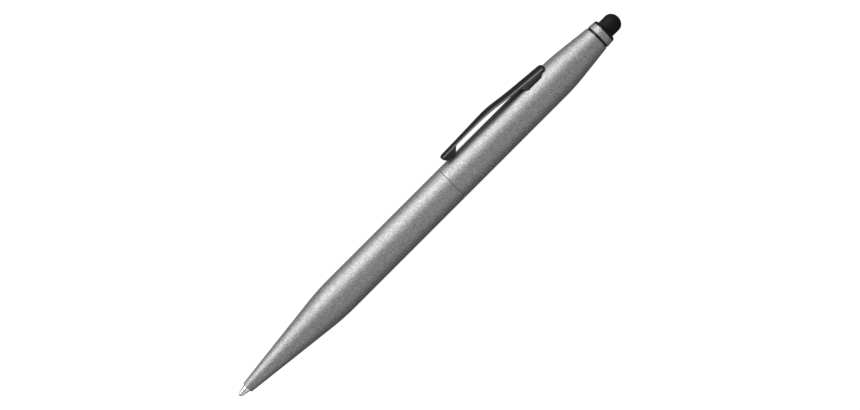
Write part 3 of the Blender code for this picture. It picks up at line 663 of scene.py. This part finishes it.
@dataclass
class Bench:
    """Puts each finished piece on its body, with its material, in place of its CAD node."""

    materials: dict[str, bpy.types.Material]
    placed: list[str] = field(default_factory=list)

    def install(self, piece: bpy.types.Object, node: str, body: str, slot: str) -> None:
        """Dress a new piece and let it stand for a CAD node.

        Args:
            piece: The finished piece.
            node: The CAD node that it replaces.
            body: The body that it rides on.
            slot: The record's material slot.
        """
        piece.data.materials.clear()
        piece.data.materials.append(self.materials[slot])
        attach(piece, body)
        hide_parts(node)
        self.placed.append(node)
        log.info("%s: %d faces on %s", piece.name, len(piece.data.polygons), body)

    def dress_cad_nodes(self) -> None:
        """Give every CAD node that stays the material of its slot."""
        slots = {part["node"]: part["material_slot"] for part in frame["record"]["subparts"]}
        for name, node in frame["nodes"].items():
            if name in self.placed:
                continue
            for material_slot in node.material_slots:
                material_slot.material = self.materials[slots[name]]
            log.info("%s: CAD shape, %s", name, slots[name])


# The pen's parts


@dataclass
class BarrelHalf:
    """What the two halves of the painted barrel share."""

    radius: float = BARREL_RADIUS
    wall: float = 0.55 * MM
    seam_round: float = 0.09 * MM

    def bore(self) -> float:
        """Radius inside the barrel."""
        return self.radius - self.wall


@dataclass
class LowerHalf(BarrelHalf):
    """The barrel with the long nose cone, and the bush in its rear end."""

    mouth: float = 2.97 * MM
    nose_corner: float = 34.02 * MM
    seam: float = 78.97 * MM
    nose_bore: float = 1.2 * MM
    mouth_radius: float = 1.56 * MM
    mouth_round: float = 0.3 * MM
    mouth_bore_round: float = 0.05 * MM
    shoulder_round: float = 70 * MM
    guide_start: float = 8.12 * MM
    bush_start: float = 64.27 * MM
    bush_end: float = 78.02 * MM
    bush_bore: float = 3.68 * MM
    bush_radius: float = 4.53 * MM
    bush_start_round: float = 0.15 * MM
    bush_end_round: float = 0.1 * MM
    bush_lead_in: float = 0.25 * MM

    def barrel(self) -> bpy.types.Object:
        """Turn the barrel, with a rounded mouth and a soft shoulder behind the cone.

        Returns:
            The finished piece.
        """
        slope = (self.radius - self.mouth_radius) / (self.nose_corner - self.mouth)
        guide_radius = self.mouth_radius + slope * (self.guide_start - self.mouth) - self.wall
        return turn("lower_barrel_painted", [
            Corner(self.mouth, self.nose_bore, self.mouth_bore_round, 3),
            Corner(self.mouth, self.mouth_radius, self.mouth_round, 8),
            Corner(self.nose_corner, self.radius, self.shoulder_round, 16),
            Corner(self.seam, self.radius, self.seam_round, 4),
            Corner(self.seam, self.bore(), self.seam_round, 4),
            Corner(self.nose_corner, self.bore()),
            Corner(self.guide_start, guide_radius),
            Corner(self.guide_start, self.nose_bore),
        ])

    def bush(self) -> bpy.types.Object:
        """Turn the bush, with a lead-in for the spigot.

        Returns:
            The finished piece.
        """
        return turn("lower_bush_moulded", [
            Corner(self.bush_start, self.bush_bore),
            Corner(self.bush_start, self.bush_radius, self.bush_start_round, 3),
            Corner(self.bush_end, self.bush_radius, self.bush_end_round, 3),
            Corner(self.bush_end, self.bush_bore, self.bush_lead_in, 4),
        ], SMALL_STEPS)

    def build(self, bench: Bench) -> None:
        """Make and place the pieces of the lower half."""
        bench.install(self.barrel(), "lower_barrel", "lower", "metallic_grey_paint")
        bench.install(self.bush(), "lower_bush", "lower", "black_acetal")


@dataclass
class UpperHalf(BarrelHalf):
    """The barrel with its taper, and the rings and collar at its end."""

    start: float = 79.02 * MM
    taper_start: float = 119.92 * MM
    end: float = 132.84 * MM
    end_radius: float = 3.69 * MM
    shoulder_round: float = 60 * MM
    end_round: float = 0.16 * MM
    hole_start: float = 110.7 * MM
    hole_end: float = 114.8 * MM
    face_gap: float = 0.01 * MM
    ring_bore: float = 3.0 * MM
    ring_round: float = 0.06 * MM
    groove_radius: float = 3.5 * MM
    groove_length: float = 0.6 * MM
    band_radius: float = 3.63 * MM
    band_top_radius: float = 3.5 * MM
    band_length: float = 1.84 * MM
    band_round: float = 0.08 * MM
    collar_radius: float = 3.5 * MM
    collar_length: float = 0.88 * MM
    collar_round: float = 0.75 * MM
    collar_lip: float = 0.15 * MM
    collar_bore: float = 2.68 * MM
    collar_edge_round: float = 0.03 * MM

    def barrel(self, tang_hole: bpy.types.Object) -> bpy.types.Object:
        """Turn the barrel and cut the hole for the clip's tang, which the clip's foot hides.

        The profile has a corner on each side of the hole, so that the cut leaves the rest as it is.

        Args:
            tang_hole: The shape that cuts the hole. It is used up.

        Returns:
            The finished barrel.
        """
        bore = self.bore()
        piece = turn("upper_barrel_painted", [
            Corner(self.start, bore, self.seam_round, 4),
            Corner(self.start, self.radius, self.seam_round, 4),
            Corner(self.hole_start, self.radius),
            Corner(self.hole_end, self.radius),
            Corner(self.taper_start, self.radius, self.shoulder_round, 16),
            Corner(self.end, self.end_radius, self.end_round, 5),
            Corner(self.end, self.end_radius - self.wall),
            Corner(self.taper_start, bore),
            Corner(self.hole_end, bore),
            Corner(self.hole_start, bore),
        ])
        cut(piece, tang_hole)
        bpy.ops.object.shade_smooth_by_angle(angle=SHARP_BEND)
        return piece

    def groove_ring(self) -> bpy.types.Object:
        """Turn the black ring that stands a little below the barrel and the band.

        Returns:
            The finished piece.
        """
        start = self.end + self.face_gap
        radii = self.groove_radius, self.groove_radius
        return turn("groove_ring_gloss", ring_corners(
            start, start + self.groove_length, self.ring_bore, radii, self.ring_round, 3))

    def band(self) -> bpy.types.Object:
        """Turn the painted band, which narrows a little towards the collar.

        Returns:
            The finished piece.
        """
        start = self.end + 2 * self.face_gap + self.groove_length
        radii = self.band_radius, self.band_top_radius
        return turn("finial_band_painted", ring_corners(
            start, start + self.band_length, self.ring_bore, radii, self.band_round, 5))

    def collar(self) -> bpy.types.Object:
        """Turn the gloss collar that holds the touch tip.

        Returns:
            The finished piece.
        """
        start = self.end + 3 * self.face_gap + self.groove_length + self.band_length
        end = start + self.collar_length
        return turn("stylus_collar_gloss", [
            Corner(start, self.ring_bore),
            Corner(start, self.collar_radius, self.collar_edge_round, 2),
            Corner(end, self.collar_radius, self.collar_round, 12),
            Corner(end, self.collar_bore, self.collar_edge_round, 2),
            Corner(end - self.collar_lip, self.collar_bore),
            Corner(end - self.collar_lip, self.ring_bore),
        ])

    def build(self, bench: Bench, tang_hole: bpy.types.Object) -> None:
        """Make and place the pieces of the upper half.

        Args:
            bench: Puts each piece in its place.
            tang_hole: The shape that cuts the hole for the tang.
        """
        bench.install(self.barrel(tang_hole), "upper_barrel", "upper", "metallic_grey_paint")
        bench.install(self.groove_ring(), "groove_ring", "upper", "black_gloss_plastic")
        bench.install(self.band(), "finial_band", "upper", "metallic_grey_paint")
        bench.install(self.collar(), "stylus_collar", "upper", "black_gloss_plastic")


@dataclass
class TouchTip:
    """The soft dome and the plug that it sits on."""

    base: float = 135.49 * MM
    top: float = 140.94 * MM
    curve_length: float = 2.3 * MM
    radius: float = 2.6 * MM
    wall: float = 0.7 * MM
    flange_length: float = 0.4 * MM
    shank_radius: float = 1.3 * MM
    shank_length: float = 7.0 * MM
    core_length: float = 2.0 * MM
    gap: float = 0.05 * MM
    base_round: float = 0.1 * MM
    flange_round: float = 0.05 * MM
    shank_round: float = 0.3 * MM

    def dome(self) -> bpy.types.Object:
        """Turn the hollow dome, open at its base.

        Returns:
            The finished piece.
        """
        curve = self.top - self.curve_length
        outside_steps, inside_steps = 20, 12
        outside = dome_corners(curve, self.curve_length, self.radius, outside_steps)
        inside = dome_corners(curve, self.curve_length - self.wall, self.radius - self.wall,
                              inside_steps)
        base = [Corner(self.base, self.radius - self.wall),
                Corner(self.base, self.radius, self.base_round, 3)]
        return turn("stylus_dome_silicone", inside[::-1] + base + outside, FINE_STEPS)

    def stud(self) -> bpy.types.Object:
        """Turn the plug: a core in the dome, a flange under it and a shank for the socket.

        Returns:
            The finished piece.
        """
        core_start = self.base - self.gap
        flange_start = core_start - self.flange_length
        core_radius = self.radius - self.wall - self.gap
        return turn("stylus_stud_moulded", [
            Corner(flange_start - self.shank_length, 0),
            Corner(flange_start - self.shank_length, self.shank_radius, self.shank_round, 4),
            Corner(flange_start, self.shank_radius),
            Corner(flange_start, self.radius, self.flange_round, 2),
            Corner(core_start, self.radius, self.flange_round, 2),
            Corner(core_start, core_radius),
            Corner(core_start + self.core_length, core_radius, self.shank_round, 4),
            Corner(core_start + self.core_length, 0),
        ], SMALL_STEPS)

    def build(self, bench: Bench) -> None:
        """Make and place the touch tip's pieces."""
        bench.install(self.dome(), "stylus_dome", "touch_tip", "black_silicone")
        bench.install(self.stud(), "stylus_stud", "touch_tip", "black_acetal")


@dataclass
class Refill:
    """The tip with its ball, and the tube behind it."""

    ball_radius: float = 0.5 * MM
    lip: float = 0.3 * MM
    lip_wall: float = 0.11 * MM
    ball_gap: float = 0.03 * MM
    tip_radius: float = 1.1 * MM
    cone_length: float = 2.4 * MM
    tip_length: float = 13.3 * MM
    flange_length: float = 1.0 * MM
    tube_start: float = 14.65 * MM
    tube_end: float = 77.82 * MM
    tube_radius: float = 1.5 * MM
    tube_wall: float = 0.3 * MM
    plug_radius: float = 1.15 * MM
    plug_length: float = 2.4 * MM
    feed_radius: float = 0.25 * MM
    lip_round: float = 0.05 * MM
    cone_round: float = 2.0 * MM
    flange_round: float = 0.08 * MM
    tube_round: float = 0.06 * MM

    def ball(self) -> bpy.types.Object:
        """Turn the ball from a half circle.

        Returns:
            The finished piece.
        """
        steps = BALL_STEPS // 2
        corners = []
        for i in range(steps + 1):
            angle = math.pi * i / steps
            radius = 0 if i in (0, steps) else self.ball_radius * math.sin(angle)
            corners.append(Corner(self.ball_radius * (1 - math.cos(angle)), radius))
        return turn("writing_ball_ground", corners, BALL_STEPS)

    def tip(self) -> bpy.types.Object:
        """Turn the tip: lip and pocket of the ball, cone, shank, flange, plug and feed hole.

        Returns:
            The finished piece.
        """
        sunk = self.ball_radius - self.lip
        lip_bore = math.sqrt(self.ball_radius ** 2 - sunk ** 2) + self.ball_gap
        pocket = self.ball_radius + self.ball_gap
        flange = self.lip + self.tip_length
        plug_end = self.tube_start + self.plug_length
        return turn("refill_tip_turned", [
            Corner(self.lip, lip_bore),
            Corner(self.lip, lip_bore + self.lip_wall, self.lip_round, 3),
            Corner(self.lip + self.cone_length, self.tip_radius, self.cone_round, 6),
            Corner(flange, self.tip_radius),
            Corner(flange, self.tube_radius, self.flange_round, 3),
            Corner(flange + self.flange_length, self.tube_radius, self.flange_round, 3),
            Corner(flange + self.flange_length, self.plug_radius),
            Corner(plug_end, self.plug_radius, self.flange_round, 3),
            Corner(plug_end, self.feed_radius),
            Corner(self.ball_radius + pocket, self.feed_radius),
            Corner(self.ball_radius + pocket, pocket),
            Corner(self.ball_radius, pocket),
        ], FINE_STEPS)

    def tube(self) -> bpy.types.Object:
        """Turn the tube.

        Returns:
            The finished piece.
        """
        bore = self.tube_radius - self.tube_wall
        radii = self.tube_radius, self.tube_radius
        return turn("refill_tube_drawn", ring_corners(
            self.tube_start, self.tube_end, bore, radii, self.tube_round, 3), SMALL_STEPS)

    def build(self, bench: Bench) -> None:
        """Make and place the refill's pieces that can show.

        Args:
            bench: Puts each piece in its place.
        """
        bench.install(self.ball(), "writing_ball", "ball", "carbide_ball")
        bench.install(self.tip(), "refill_tip", "refill", "chromed_tip_metal")
        bench.install(self.tube(), "refill_tube", "refill", "drawn_steel")


@dataclass
class Mechanism:
    """The parts of the twist mechanism that show when the halves are pulled apart."""

    start: float = 66.07 * MM
    flange_start: float = 78.07 * MM
    flange_end: float = 78.97 * MM
    radius: float = 3.6 * MM
    throat: float = 2.0 * MM
    lip: float = 5.0 * MM
    flange_radius: float = 4.43 * MM
    seat: float = 3.1 * MM
    ring_station: float = 68.67 * MM
    ring_section: float = 0.24 * MM
    ring_radius: float = 3.39 * MM
    gap: float = 0.05 * MM
    front_round: float = 0.3 * MM
    groove_round: float = 0.04 * MM
    flange_round: float = 0.08 * MM

    def spigot(self) -> bpy.types.Object:
        """Turn the spigot, with the groove of its ring and a flange at the seam.

        Returns:
            The finished piece.
        """
        half = self.ring_section + self.gap
        floor = self.ring_radius - self.ring_section - self.gap
        return turn("mechanism_spigot_turned", [
            Corner(self.start, self.throat),
            Corner(self.start, self.radius, self.front_round, 5),
            Corner(self.ring_station - half, self.radius, self.groove_round, 2),
            Corner(self.ring_station - half, floor, self.groove_round, 2),
            Corner(self.ring_station + half, floor, self.groove_round, 2),
            Corner(self.ring_station + half, self.radius, self.groove_round, 2),
            Corner(self.flange_start, self.radius),
            Corner(self.flange_start, self.flange_radius, self.flange_round, 3),
            Corner(self.flange_end, self.flange_radius, self.flange_round, 3),
            Corner(self.flange_end, self.seat),
            Corner(self.start + self.lip, self.seat),
            Corner(self.start + self.lip, self.throat),
        ], FINE_STEPS)

    def grip_ring(self) -> bpy.types.Object:
        """Turn the rubber ring from a full circle.

        Returns:
            The finished piece.
        """
        steps = 16
        angles = [math.tau * i / steps for i in range(steps)]
        return turn("grip_ring_rubber", [
            Corner(self.ring_station + self.ring_section * math.cos(a),
                   self.ring_radius + self.ring_section * math.sin(a)) for a in angles
        ], SMALL_STEPS)

    def build(self, bench: Bench) -> None:
        """Make and place the pieces."""
        bench.install(self.spigot(), "mechanism_spigot", "mechanism", "turned_brass")
        bench.install(self.grip_ring(), "grip_ring", "mechanism", "black_rubber")


@dataclass
class Clip:
    """The side clip: a springy arm with a bead, and a foot with a tang through the barrel.

    A rise is a height over the barrel. A drop is how far back from its end the clip rounds down and
    by how much. Limits are the most that a section's crown may take of its depth, and its lower
    corners of its width and depth.
    """

    barrel_radius: float = BARREL_RADIUS
    start: float = 81.57 * MM
    knee: float = 99.02 * MM
    dip: float = 105.52 * MM
    end: float = 117.62 * MM
    start_rise: float = 2.74 * MM
    knee_rise: float = 3.14 * MM
    dip_rise: float = 2.11 * MM
    end_rise: float = 0.89 * MM
    knee_round: float = 32 * MM
    dip_round: float = 80 * MM
    thickness: float = 0.65 * MM
    under_taper: float = 0.7
    start_width: float = 2.26 * MM
    end_width: float = 3.35 * MM
    crown_share: float = 0.11
    crown_limit: float = 0.6
    edge_round: float = 0.12 * MM
    edge_limits: tuple[float, float] = (0.45, 0.8)
    belly_limits: tuple[float, float] = (0.49, 0.95)
    hinge_gap: float = 0.055 * MM
    free_end_round: float = 0.8 * MM
    free_end_drop: tuple[float, float] = (0.9 * MM, 0.3 * MM)
    free_end_depth: float = 0.15 * MM
    bead_gap: float = 0.28 * MM
    bead_curve: float = 1.8 * MM
    bead_flat: float = 1.5 * MM
    bead_ramp: float = 2.1 * MM
    bead_taper: float = 0.96
    foot_start: float = 110.65 * MM
    foot_end: float = 114.95 * MM
    foot_web: float = 2.3 * MM
    foot_heel: float = 2.0 * MM
    foot_sink: float = 0.7 * MM
    foot_flare: float = 1.42
    foot_end_round: float = 1.0 * MM
    foot_end_share: float = 0.4
    foot_drop: tuple[float, float] = (1.3 * MM, 0.34 * MM)
    foot_stand: float = 0.015 * MM
    seat_margin: float = 2 * MM
    tang_width: float = 1.5 * MM
    tang_length: float = 3.2 * MM
    tang_reach: float = 1.2 * MM
    tang_gap: float = 0.08 * MM
    tang_head: float = 0.4 * MM
    tang_crown: float = 0.2 * MM
    tang_round: float = 0.15 * MM
    least_step: float = 0.1 * MM

    def path(self) -> list[Vector]:
        """Points of (station, height) along the clip's outer side.

        Returns:
            The points, in order from the free end.
        """
        steps = 14
        start = Corner(self.start, self.barrel_radius + self.start_rise)
        knee = Corner(self.knee, self.barrel_radius + self.knee_rise, self.knee_round, steps)
        dip = Corner(self.dip, self.barrel_radius + self.dip_rise, self.dip_round, steps)
        end = Corner(self.end, self.barrel_radius + self.end_rise)
        return [start.place, *rounded(start.place, knee, dip.place),
                *rounded(knee.place, dip, end.place), end.place]

    def top(self, station: float) -> float:
        """Height of the clip's outer side at a station.

        Args:
            station: Where the height is wanted.

        Returns:
            The height over the pen's axis.
        """
        path = self.path()
        for one, other in zip(path, path[1:]):
            if station <= other.x:
                break
        return one.y + (station - one.x) / (other.x - one.x) * (other.y - one.y)

    def width(self, station: float) -> float:
        """Width of the clip, which grows faster and faster from its free end to its knee."""
        share = min(1.0, (station - self.start) / (self.knee - self.start))
        return self.start_width + share ** 2 * (self.end_width - self.start_width)

    def underside(self, station: float) -> float:
        """Height of the plate's underside."""
        return self.top(station) - self.thickness

    def section(self, station: float, bottom: float | None = None, ease: float = 0.0,
                top_width: float | None = None, bottom_width: float | None = None,
                belly: float = 0.0) -> Section:
        """Section of the clip at a station.

        Args:
            station: Where the section is.
            bottom: Height of its underside, or None for the plate's own.
            ease: How far its top and underside draw in.
            top_width: Its width, or None for the clip's own.
            bottom_width: Width of its underside, or None for the plate's own share.
            belly: How far its underside is a round belly, from 0 for a flat one to 1.

        Returns:
            The section, whose crown and corners shrink where it is small.
        """
        top = self.top(station)
        top_width = self.width(station) if top_width is None else top_width
        bottom = self.underside(station) + ease if bottom is None else bottom
        bottom_width = self.under_taper * top_width if bottom_width is None else bottom_width
        depth = top - ease - bottom
        crown = min(self.crown_share * top_width, self.crown_limit * depth)
        space = bottom_width, depth - (1 + CROWN_WALL) * crown
        flat = [min(self.edge_round, limit * size) for limit, size in zip(self.edge_limits, space)]
        full = [limit * size for limit, size in zip(self.belly_limits, space)]
        corner = tuple(one + (other - one) * belly for one, other in zip(flat, full))
        return Section(station, top - ease, bottom, top_width, bottom_width, crown, corner)

    def run(self, first: float, last: float) -> list[float]:
        """Stations between two others: those of the path's bends, and about one every millimetre.

        Args:
            first: The station before them.
            last: The station after them.

        Returns:
            The stations, in order and none too near the one before it.
        """
        count = max(2, round((last - first) / MM))
        even = [first + (last - first) * i / count for i in range(1, count)]
        bends = [point.x for point in self.path() if first < point.x < last]
        stations = sorted(even + bends)
        kept = [stations[0]]
        for station in stations[1:]:
            if station - kept[-1] > self.least_step:
                kept.append(station)
        return kept

    def bead(self) -> list[Section]:
        """Sections of the free end, round in every view, with the bead and the ramp behind it.

        Returns:
            The sections, the first half a step inside the end, where the clip has some width.
        """
        floor = self.barrel_radius + self.bead_gap
        reach, drop = self.free_end_drop
        curve_steps, flat_steps, ramp_steps = 14, 4, 12
        sections = []
        for i in range(curve_steps + 1):
            angle = math.pi / 2 * (i + 0.5) / (curve_steps + 0.5)
            offset = self.bead_curve * (1 - math.cos(angle))
            station = self.start + offset
            ease = drop * (1 - oval(offset, reach))
            middle = self.top(station) - drop - self.free_end_depth
            bottom = middle - (middle - floor) * oval(offset, self.bead_curve)
            width = self.width(station) * oval(offset, self.free_end_round)
            sections.append(self.section(station, bottom, ease, width, self.bead_taper * width, 1))
        flat_end = self.start + self.bead_curve + self.bead_flat
        for i in range(1, flat_steps):
            station = self.start + self.bead_curve + self.bead_flat * i / flat_steps
            width = self.width(station)
            sections.append(self.section(station, floor, 0, width, self.bead_taper * width, 1))
        for i in range(ramp_steps + 1):
            station = flat_end + self.bead_ramp * i / ramp_steps
            share = eased(i / ramp_steps)
            plate = self.underside(station)
            width = self.width(station)
            taper = self.bead_taper + (self.under_taper - self.bead_taper) * share
            sections.append(self.section(station, floor + (plate - floor) * share, 0, width,
                                         taper * width, 1 - share))
        return sections

    def arm(self) -> bpy.types.Object:
        """Draw the arm from its free end to its bend.

        Returns:
            The finished arm.
        """
        sections = self.bead()
        root = self.dip - self.hinge_gap / 2
        sections += [self.section(station) for station in self.run(sections[-1].station, root)]
        sections.append(self.section(root))
        piece = SectionBar("clip_arm_plated", sections).draw()
        roll_to_clip_side(piece)
        return finish_mesh(piece)

    def foot_sections(self) -> list[Section]:
        """Sections from the bend to the blunt end, with the post that stands on the barrel.

        Returns:
            The sections, in order.
        """
        root = self.dip + self.hinge_gap / 2
        seat = self.barrel_radius - self.foot_sink
        web = self.foot_start - self.foot_web
        sections = [self.section(root)]
        sections += [self.section(station) for station in self.run(root, web)]
        steps = 8
        for i in range(steps + 1):
            sections.append(self.post_section(web + self.foot_web * i / steps,
                                              eased(i / steps), seat))
        for i in range(steps + 1):
            sections.append(self.post_section(self.foot_end + self.foot_heel * i / steps,
                                              eased(1 - i / steps), seat))
        return sections

    def post_section(self, station: float, share: float, seat: float) -> Section:
        """Section where the plate has turned into the post by a share.

        Args:
            station: Where the section is.
            share: From 0 for the plate to 1 for the post.
            seat: Height of the post's underside.

        Returns:
            The section, whose underside is as wide as the share asks.
        """
        plate = self.underside(station)
        flare = self.under_taper + (self.foot_flare - self.under_taper) * share
        return self.section(station, plate + (seat - plate) * share,
                            bottom_width=flare * self.width(station))

    def foot_end_sections(self) -> list[Section]:
        """Sections of the blunt end, whose top rounds down and whose corners are round in plan.

        Returns:
            The sections, in order.
        """
        sections = []
        steps = 10
        reach, drop = self.foot_drop
        for i in range(steps, -1, -1):
            offset = reach * (1 - math.cos(math.pi / 2 * i / steps))
            station = self.end - offset
            bottom = self.underside(station)
            ease = drop * (1 - oval(offset, reach))
            round_share = oval(offset, self.foot_end_round)
            share = self.foot_end_share + (1 - self.foot_end_share) * round_share
            sections.append(self.section(station, bottom, ease, share * self.width(station)))
        return sections

    def tang(self, name: str, gap: float) -> bpy.types.Object:
        """Draw the tang, or the shape of its hole, larger by a gap all round.

        Args:
            name: Name of the new piece.
            gap: How much larger it is on each side.

        Returns:
            The shape, from inside the barrel to inside the foot.
        """
        middle = (self.foot_start + self.foot_end) / 2
        low = self.barrel_radius - self.tang_reach - gap
        high = self.barrel_radius + self.tang_head
        width = self.tang_width + 2 * gap
        half = self.tang_length / 2 + gap
        corner = (self.tang_round, self.tang_round)
        sections = [Section(middle + side * half, high, low, width, width, self.tang_crown, corner)
                    for side in (-1, 1)]
        piece = SectionBar(name, sections).draw()
        roll_to_clip_side(piece)
        return finish_mesh(piece)

    def foot(self) -> bpy.types.Object:
        """Draw the foot, cut its underside to the barrel and join its tang.

        Returns:
            The finished foot, which stands a hair off the paint.
        """
        sections = self.foot_sections()
        last = sections[-1].station
        ends = [section for section in self.foot_end_sections() if section.station > last]
        piece = SectionBar("clip_foot_plated", sections + ends).draw()
        roll_to_clip_side(piece)
        finish_mesh(piece)
        first, last = self.foot_start - self.seat_margin, self.foot_end + self.seat_margin
        seat = self.barrel_radius + self.foot_stand
        barrel = turn("barrel_seat", [Corner(first, 0), Corner(first, seat), Corner(last, seat),
                                      Corner(last, 0)])
        cut(piece, barrel)
        cut(piece, self.tang("tang_joined", 0.0), "UNION")
        bpy.ops.object.shade_smooth_by_angle(angle=SHARP_BEND)
        return piece

    def build(self, bench: Bench) -> None:
        """Make and place the clip's two pieces."""
        bench.install(self.arm(), "clip_arm", "clip", "dark_plated_metal")
        bench.install(self.foot(), "clip_foot", "upper", "dark_plated_metal")


def oval(offset: float, length: float) -> float:
    """Share of its full size that a quarter oval has reached at an offset from its end.

    Args:
        offset: Distance from the end.
        length: Length of the oval.

    Returns:
        The share, from 0 at the end to 1.
    """
    reach = min(1.0, offset / length)
    return math.sqrt(reach * (2 - reach))


def eased(share: float, ease: float = 0.18) -> float:
    """Straight ramp from 0 to 1 with its two ends rounded over a share of its length.

    Args:
        share: How far along the ramp.
        ease: The share that each rounded end takes.

    Returns:
        The height reached there.
    """
    slope = 1 / (1 - ease)
    if share < ease:
        return slope * share ** 2 / (2 * ease)
    if share > 1 - ease:
        return 1 - slope * (1 - share) ** 2 / (2 * ease)
    return slope * (share - ease / 2)


# The studio


@dataclass
class Studio:
    """White floor, two soft lamps, a soft world and the camera of the photograph.

    Angles are turns about the pen's axis: the roll from straight above to the camera, and a lamp's
    from the camera towards the clip's side of the picture. The lamps are longer than the pen, so
    the cone of its tip mirrors them too.
    """

    middle: float = 70.92 * MM
    distance: float = 628.7 * MM
    lens: float = 100.0
    sensor: float = 36.0
    nearest: float = 0.01
    roll: float = math.radians(-5.5)
    lamp_distance: float = 1.2
    key_angle: float = math.radians(54.5)
    key_size: tuple[float, float] = (1.5, 1.0)
    key_power: float = 26.4
    fill_angle: float = math.radians(-48)
    fill_size: tuple[float, float] = (1.5, 1.39)
    fill_power: float = 4.9
    world_level: float = 0.32
    floor_size: float = 6.0
    floor_color: str = "#404040"
    floor_roughness: float = 0.9
    floor_white: float = 0.98
    glossy_white: float = 0.11

    def target(self) -> Vector:
        """Point at which the camera and the lamps look."""
        return on_axis(self.middle)

    def view(self) -> Vector:
        """Direction from the pen to the camera."""
        return Vector((0, -math.sin(self.roll), math.cos(self.roll)))

    def side(self) -> Vector:
        """Direction across the pen in the picture, towards the clip."""
        return Vector((0, math.cos(self.roll), math.sin(self.roll)))

    def hang(self, data: bpy.types.ID, place: Vector,
             axes: tuple[Vector, Vector, Vector]) -> bpy.types.Object:
        """Put a camera or a lamp in the scene.

        Args:
            data: The camera or the lamp.
            place: Where it is.
            axes: Directions of its own X, Y and Z. It looks along its -Z.

        Returns:
            Its object.
        """
        thing = bpy.data.objects.new(data.name, data)
        bpy.context.scene.collection.objects.link(thing)
        thing.matrix_world = Matrix.Translation(place) @ Matrix(axes).transposed().to_4x4()
        return thing

    def camera(self) -> None:
        """Place the camera, with the pen across the picture from corner to corner."""
        along = Vector((1, 0, 0))
        up = (along + self.side()) / math.sqrt(2)
        right = (along - self.side()) / math.sqrt(2)
        data = bpy.data.cameras.new("camera")
        data.lens = self.lens
        data.sensor_width = self.sensor
        data.clip_start = self.nearest
        place = self.target() + self.view() * self.distance
        bpy.context.scene.camera = self.hang(data, place, (right, up, self.view()))

    def lamp(self, name: str, angle: float, size: tuple[float, float], power: float) -> None:
        """Hang a soft lamp over the pen.

        Args:
            name: Name of the lamp.
            angle: Its angle from the camera's direction, towards the clip's side of the picture.
            size: Its size along the pen and across it.
            power: Its power in watts.
        """
        data = bpy.data.lights.new(name, "AREA")
        data.shape = "RECTANGLE"
        data.size, data.size_y = size
        data.energy = power
        away = self.view() * math.cos(angle) + self.side() * math.sin(angle)
        along = Vector((1, 0, 0))
        self.hang(data, self.target() + away * self.lamp_distance, (along, away.cross(along), away))

    def floor(self) -> None:
        """Lay the floor, white to the camera and a dimmer white in the pen's metal.

        Its own colour is darker than it looks, so that it throws little light up at the pen's lower
        sides, which are dark in the photograph.
        """
        deselect_everything()
        bpy.ops.mesh.primitive_plane_add(size=self.floor_size, location=(0, 0, 0))
        floor = bpy.context.object
        floor.name = "floor"
        material = bpy.data.materials.new("plain_floor")
        material.use_nodes = True
        tree = material.node_tree
        shader = tree.nodes["Principled BSDF"]
        shader.inputs["Base Color"].default_value = linear(self.floor_color)
        shader.inputs["Roughness"].default_value = self.floor_roughness
        path = add_node(tree, "ShaderNodeLightPath")
        other = add_node(tree, "ShaderNodeMath", {"operation": "MAXIMUM"},
                         {0: path.outputs["Is Glossy Ray"], 1: path.outputs["Is Transmission Ray"]})
        dimmed = add_node(tree, "ShaderNodeMath", {"operation": "MULTIPLY"}, {0: other.outputs[0]})
        dimmed.inputs[1].default_value = self.glossy_white
        share = add_node(tree, "ShaderNodeMath", {"operation": "MAXIMUM"},
                         {0: path.outputs["Is Camera Ray"], 1: dimmed.outputs[0]})
        shader.inputs["Emission Color"].default_value = (1, 1, 1, 1)
        white = add_node(tree, "ShaderNodeMath", {"operation": "MULTIPLY"}, {0: share.outputs[0]})
        white.inputs[1].default_value = self.floor_white
        tree.links.new(white.outputs[0], shader.inputs["Emission Strength"])
        floor.data.materials.append(material)

    def world(self) -> None:
        """Light everything softly from all round."""
        world = bpy.data.worlds.new("soft_room")
        world.use_nodes = True
        background = world.node_tree.nodes["Background"]
        background.inputs["Color"].default_value = (1, 1, 1, 1)
        background.inputs["Strength"].default_value = self.world_level
        bpy.context.scene.world = world

    def build(self) -> None:
        """Set up the studio."""
        bpy.context.scene.view_settings.view_transform = "Standard"
        self.camera()
        self.lamp("key", self.key_angle, self.key_size, self.key_power)
        self.lamp("fill", self.fill_angle, self.fill_size, self.fill_power)
        self.floor()
        self.world()


def main() -> None:
    """Build the pen's parts in order, dress what stays of the CAD, and set up the studio."""
    logging.basicConfig(level=logging.INFO, format="%(message)s")
    bench = Bench(Finishes().materials())
    clip = Clip()
    LowerHalf().build(bench)
    UpperHalf().build(bench, clip.tang("tang_hole", clip.tang_gap))
    clip.build(bench)
    TouchTip().build(bench)
    Refill().build(bench)
    Mechanism().build(bench)
    bench.dress_cad_nodes()
    Studio().build()


if __name__ == "__main__":
    main()
